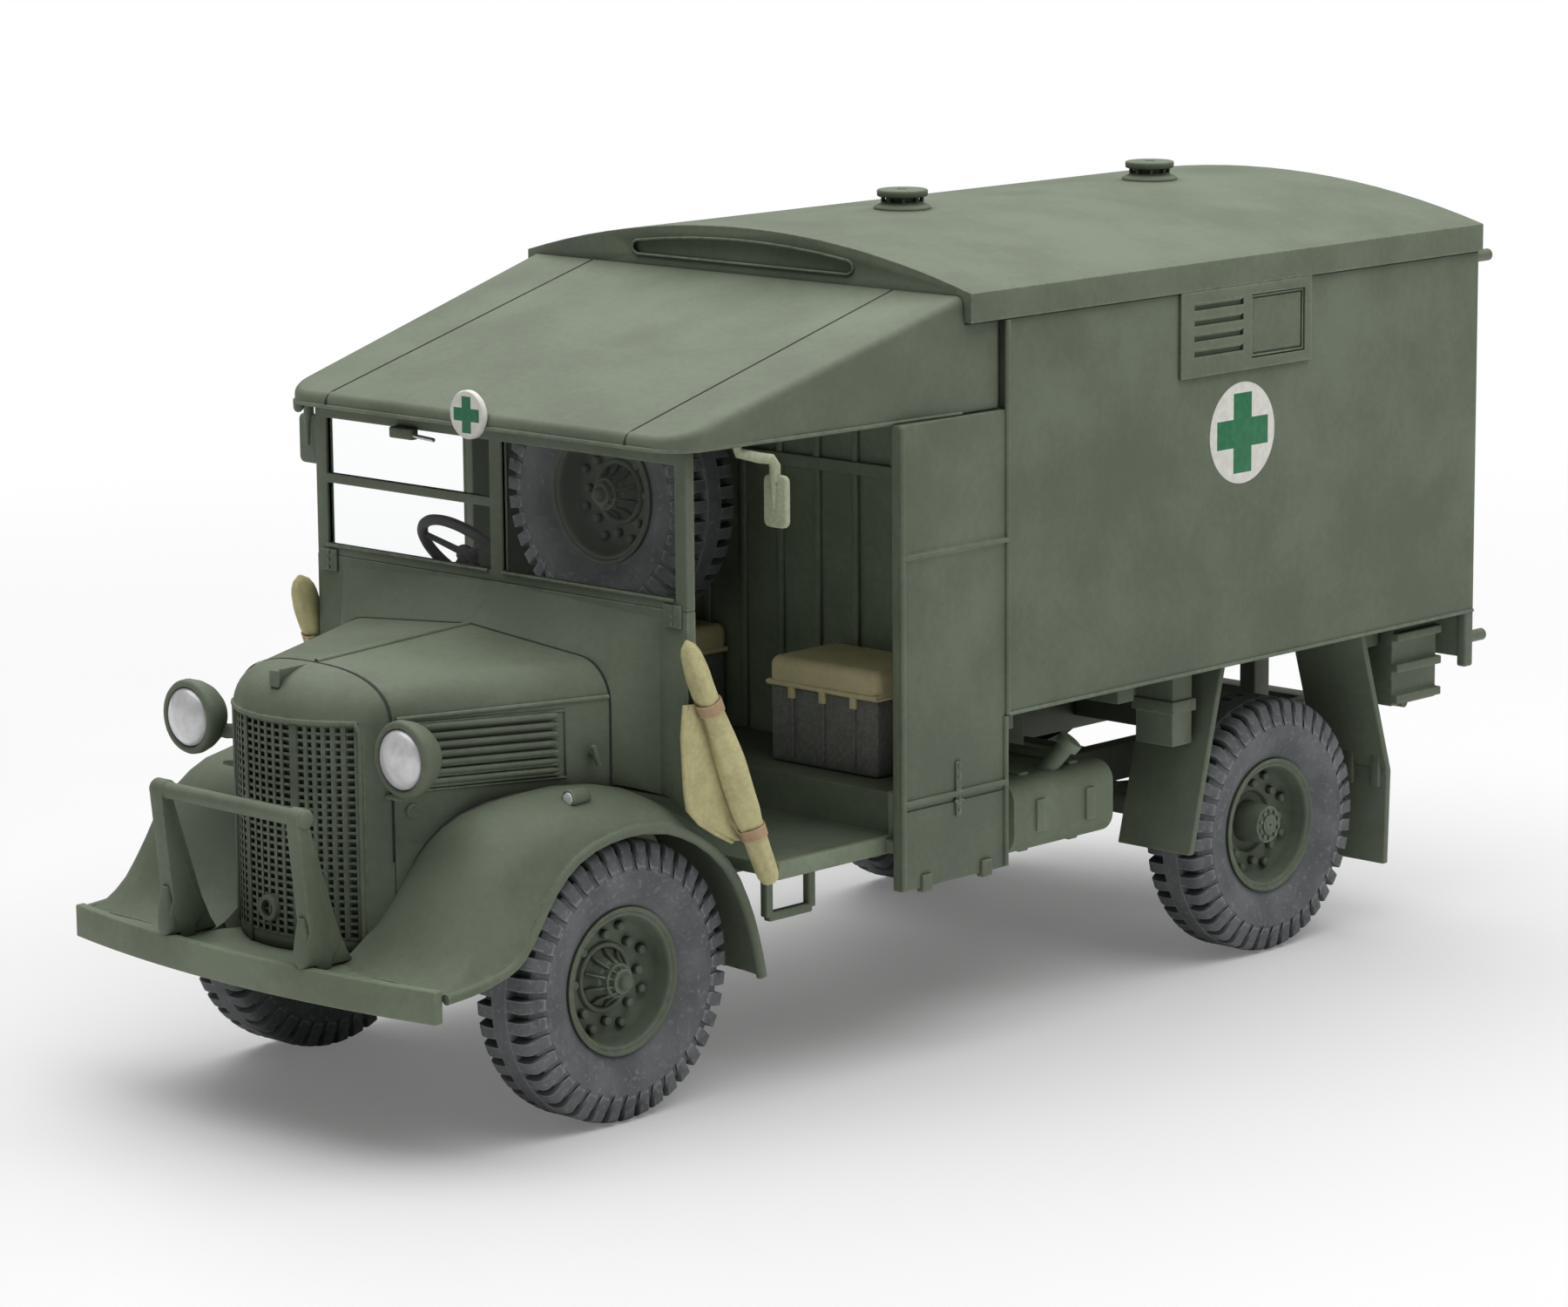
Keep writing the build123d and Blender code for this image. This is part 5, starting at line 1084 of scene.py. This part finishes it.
tabs, seatCases = [], []
for side in (1, -1):
    for k in range(3):
        middle = side * (8.3 + 3.2 * k)
        tabs.append(slabAt("lidTab", (middle - 0.32, middle + 0.32), (27.55, 28.0), (24.7, 25.95)))
        seatCases.append(slabAt("caseRib", (middle - 0.14, middle + 0.14), (27.68, 27.95), (20.2, 24.7), 0.06))
    hem = [(5.9, 35.1), (5.9, 27.7), (17.1, 27.7), (17.1, 35.1)]
    tabs.append(tube("lidHem", [at(side * x, back, 25.75) for x, back in hem], 0.24, 8))
lids = softCopy("seat_lids", 0.05)
dress(bundle("seatLidsSoft", [lids] + tabs), tanLid, stands=("seat_lids",))
cases = softCopy("seat_boxes", 0.22)
dress(bundle("seatCases", [cases] + seatCases), boxGrey, stands=("seat_boxes",))

cab = []
for side in (1, -1):
    span = (side * 20.95, side * 21.6)
    cab.append(slabAt("floorEdge", span, (12.3, 25.2), (15.25, 16.55), 0.12))
    cab.append(slabAt("floorEnd", span, (24.55, 25.2), (15.25, 19.85), 0.2))
for k in range(11):
    x = -20 + 4 * k
    cab.append(slabAt("batten", (x - 0.3, x + 0.3), (35.1, 35.5), (19.7, 53.8)))
cab.append(slabAt("battenRail", (-22.3, 22.3), (34.9, 35.4), (41.0, 42.0)))
dress(bundle("cabFittings", cab), oliveInsideLit)
print("cab made")

# bumper guard bosses and feet, rear flap hinges and rack ends

front = []
for side in (1, -1):
    x = side * 7.4
    front.append(turned("guardBoss", at(x - 0.85, -20.95, 23.3), (1, 0, 0), [
        (0.0, 0.0), (0.0, 0.52), (0.12, 0.66), (0.35, 0.73), (1.35, 0.73), (1.58, 0.66), (1.70, 0.52),
        (1.70, 0.0)], 24))
    foot = [(-20.95, 16.2), (-20.98, 14.9), (-20.92, 13.9), (-20.85, 13.1), (-20.7, 12.65)]
    front.append(tube("guardFoot", [at(x, *spot) for spot in foot], [0.30, 0.52, 0.70, 0.72, 0.55], 16))
    web = [(-20.95, 22.7), (-20.3, 22.7), (-17.9, 15.1), (-17.1, 13.3), (-16.5, 12.4), (-20.95, 12.4)]
    front.append(cutOut("guardWeb", [at(x - 0.35, *spot) for spot in web], step(0.7, 0, 0), 0.15))
dress(bundle("guardBosses", front), olive)

rear = []
for side in (1, -1):
    rear.append(tube("flapHinge", [at(side * x, 84.35, 12.0) for x in (14.7, 21.9)], 0.36))
    for x in (15.6, 18.3, 21.0):
        rear.append(slabAt("hingeLeaf", (side * x - 0.45, side * x + 0.45), (83.7, 84.75), (10.6, 13.4)))
    rear.append(tube("rackBar", [at(side * x, 86.5, 17.4) for x in (19.6, 21.9)], 0.42, 12))
    for z in (23.8, 53.6):
        rear.append(tube("doorHinge", [at(side * 22.3, 93.9, z - 1.2), at(side * 22.3, 93.9, z + 1.2)], 0.4, 12))
for z in (31.0, 44.0):
    rear.append(slabAt("doorBar", (-2.4, 2.4), (93.9, 94.3), (z - 0.35, z + 0.35), 0.12))
handle = [(94.2, 36.2), (94.9, 36.2), (94.9, 38.4), (94.2, 38.4)]
rear.append(tube("doorHandle", [at(1.0, *spot) for spot in handle], 0.22, 8))
header = {"half": 22.4, "foot": 53.9, "crown": 58.9, "rise": 3.3, "back": 92.75, "thick": 0.45}
arch = [(header["half"] * (1 - k / 10), header["crown"] - header["rise"] * (1 - k / 10) ** 2) for k in range(21)]
arch = [(header["half"], header["foot"])] + arch + [(-header["half"], header["foot"])]
rear.append(cutOut("rearHeader", [at(x, header["back"], z) for x, z in arch], step(0, header["thick"], 0), 0.05))
dress(bundle("rearFittings", rear), olive)
print("front and rear fittings made")

# camera, floor and light

shot = {
    "position": (278.152, -254.221, 101.856),
    "azimuth": 43.828, "elevation": 10.692, "roll": -0.494,
    "lens": 120.26,
}
camera = linked("camera", bpy.data.cameras.new("camera"))
camera.data.lens = shot["lens"]
camera.data.sensor_width = 36.0
camera.data.sensor_fit = "HORIZONTAL"
camera.data.clip_start = 0.01
azimuth, elevation, bank = [math.radians(shot[key]) for key in ("azimuth", "elevation", "roll")]
level = Vector((math.cos(azimuth), math.sin(azimuth), 0))
backward = Vector((math.sin(azimuth), -math.cos(azimuth), 0)) * math.cos(elevation)
backward.z = math.sin(elevation)
upward = backward.cross(level)
sideways = level * math.cos(bank) + upward * math.sin(bank)
upright = upward * math.cos(bank) - level * math.sin(bank)
stand = Matrix((sideways, upright, backward)).transposed().to_4x4()
stand.translation = at(*shot["position"])
camera.matrix_world = stand
scene.camera = camera

stage = {"half": 1.6, "sink": 0.00002, "keep": 0.09, "fade": 0.30, "lift": 0.14}
sky = {"plain": 0.09, "shown": 0.91}
bpy.ops.mesh.primitive_plane_add(size=2 * stage["half"], location=(0, 0, -stage["sink"]))
floor = settle("floor")
f = Finish("paleFloor")
away = f.node("ShaderNodeVectorMath", {"operation": "LENGTH"}, {0: f.place}, out="Value")
gloss = f.noise(30.0, 2.0)
matt = f.node("ShaderNodeBsdfPrincipled", None, {
    "Base Color": (0.92, 0.92, 0.92, 1), "Roughness": 0.32 + gloss * 0.06, "Specular IOR Level": 0.35})
glow = f.node("ShaderNodeEmission", None, {"Color": (1, 1, 1, 1), "Strength": 1.0})
rays = [f.node("ShaderNodeLightPath", out=f"Is {kind} Ray") for kind in ("Camera", "Glossy", "Transmission")]
glowing = stage["lift"] + f.ramp(away, stage["keep"], stage["fade"]) * (1 - stage["lift"])
share = glowing * (rays[0] | rays[1] | rays[2])
f.close(f.node("ShaderNodeMixShader", None, {0: share, 1: matt, 2: glow}))
floor.data.materials.append(f.material)

world = bpy.data.worlds.new("studio")
scene.world = world
world.use_nodes = True
tree = world.node_tree
tree.nodes.clear()
direct, through = [Wire(tree, tree.nodes.new("ShaderNodeLightPath").outputs[f"Is {kind} Ray"])
                   for kind in ("Camera", "Transmission")]
shine = tree.nodes.new("ShaderNodeBackground")
feed(tree, shine.inputs["Color"], (1, 1, 1, 1))
feed(tree, shine.inputs["Strength"], sky["plain"] + (direct | through) * sky["shown"])
tree.links.new(shine.outputs[0], tree.nodes.new("ShaderNodeOutputWorld").inputs["Surface"])

lamps = [
    # name, place, aim, size, power
    ("overhead", (-20, 110, 430), (0, 50, 20), 0.80, 4.6),
    ("sideFill", (430, 90, 200), (10, 40, 25), 0.40, 0.16),
]
for name, place, aim, size, power in lamps:
    lamp = linked(name, bpy.data.lights.new(name, "AREA"))
    lamp.data.shape = "SQUARE"
    lamp.data.size = size
    lamp.data.energy = power
    lamp.location = at(*place)
    lamp.rotation_euler = (at(*place) - at(*aim)).to_track_quat("Z", "Y").to_euler()

scene.view_settings.view_transform = "Standard"
print("camera, floor and light set")
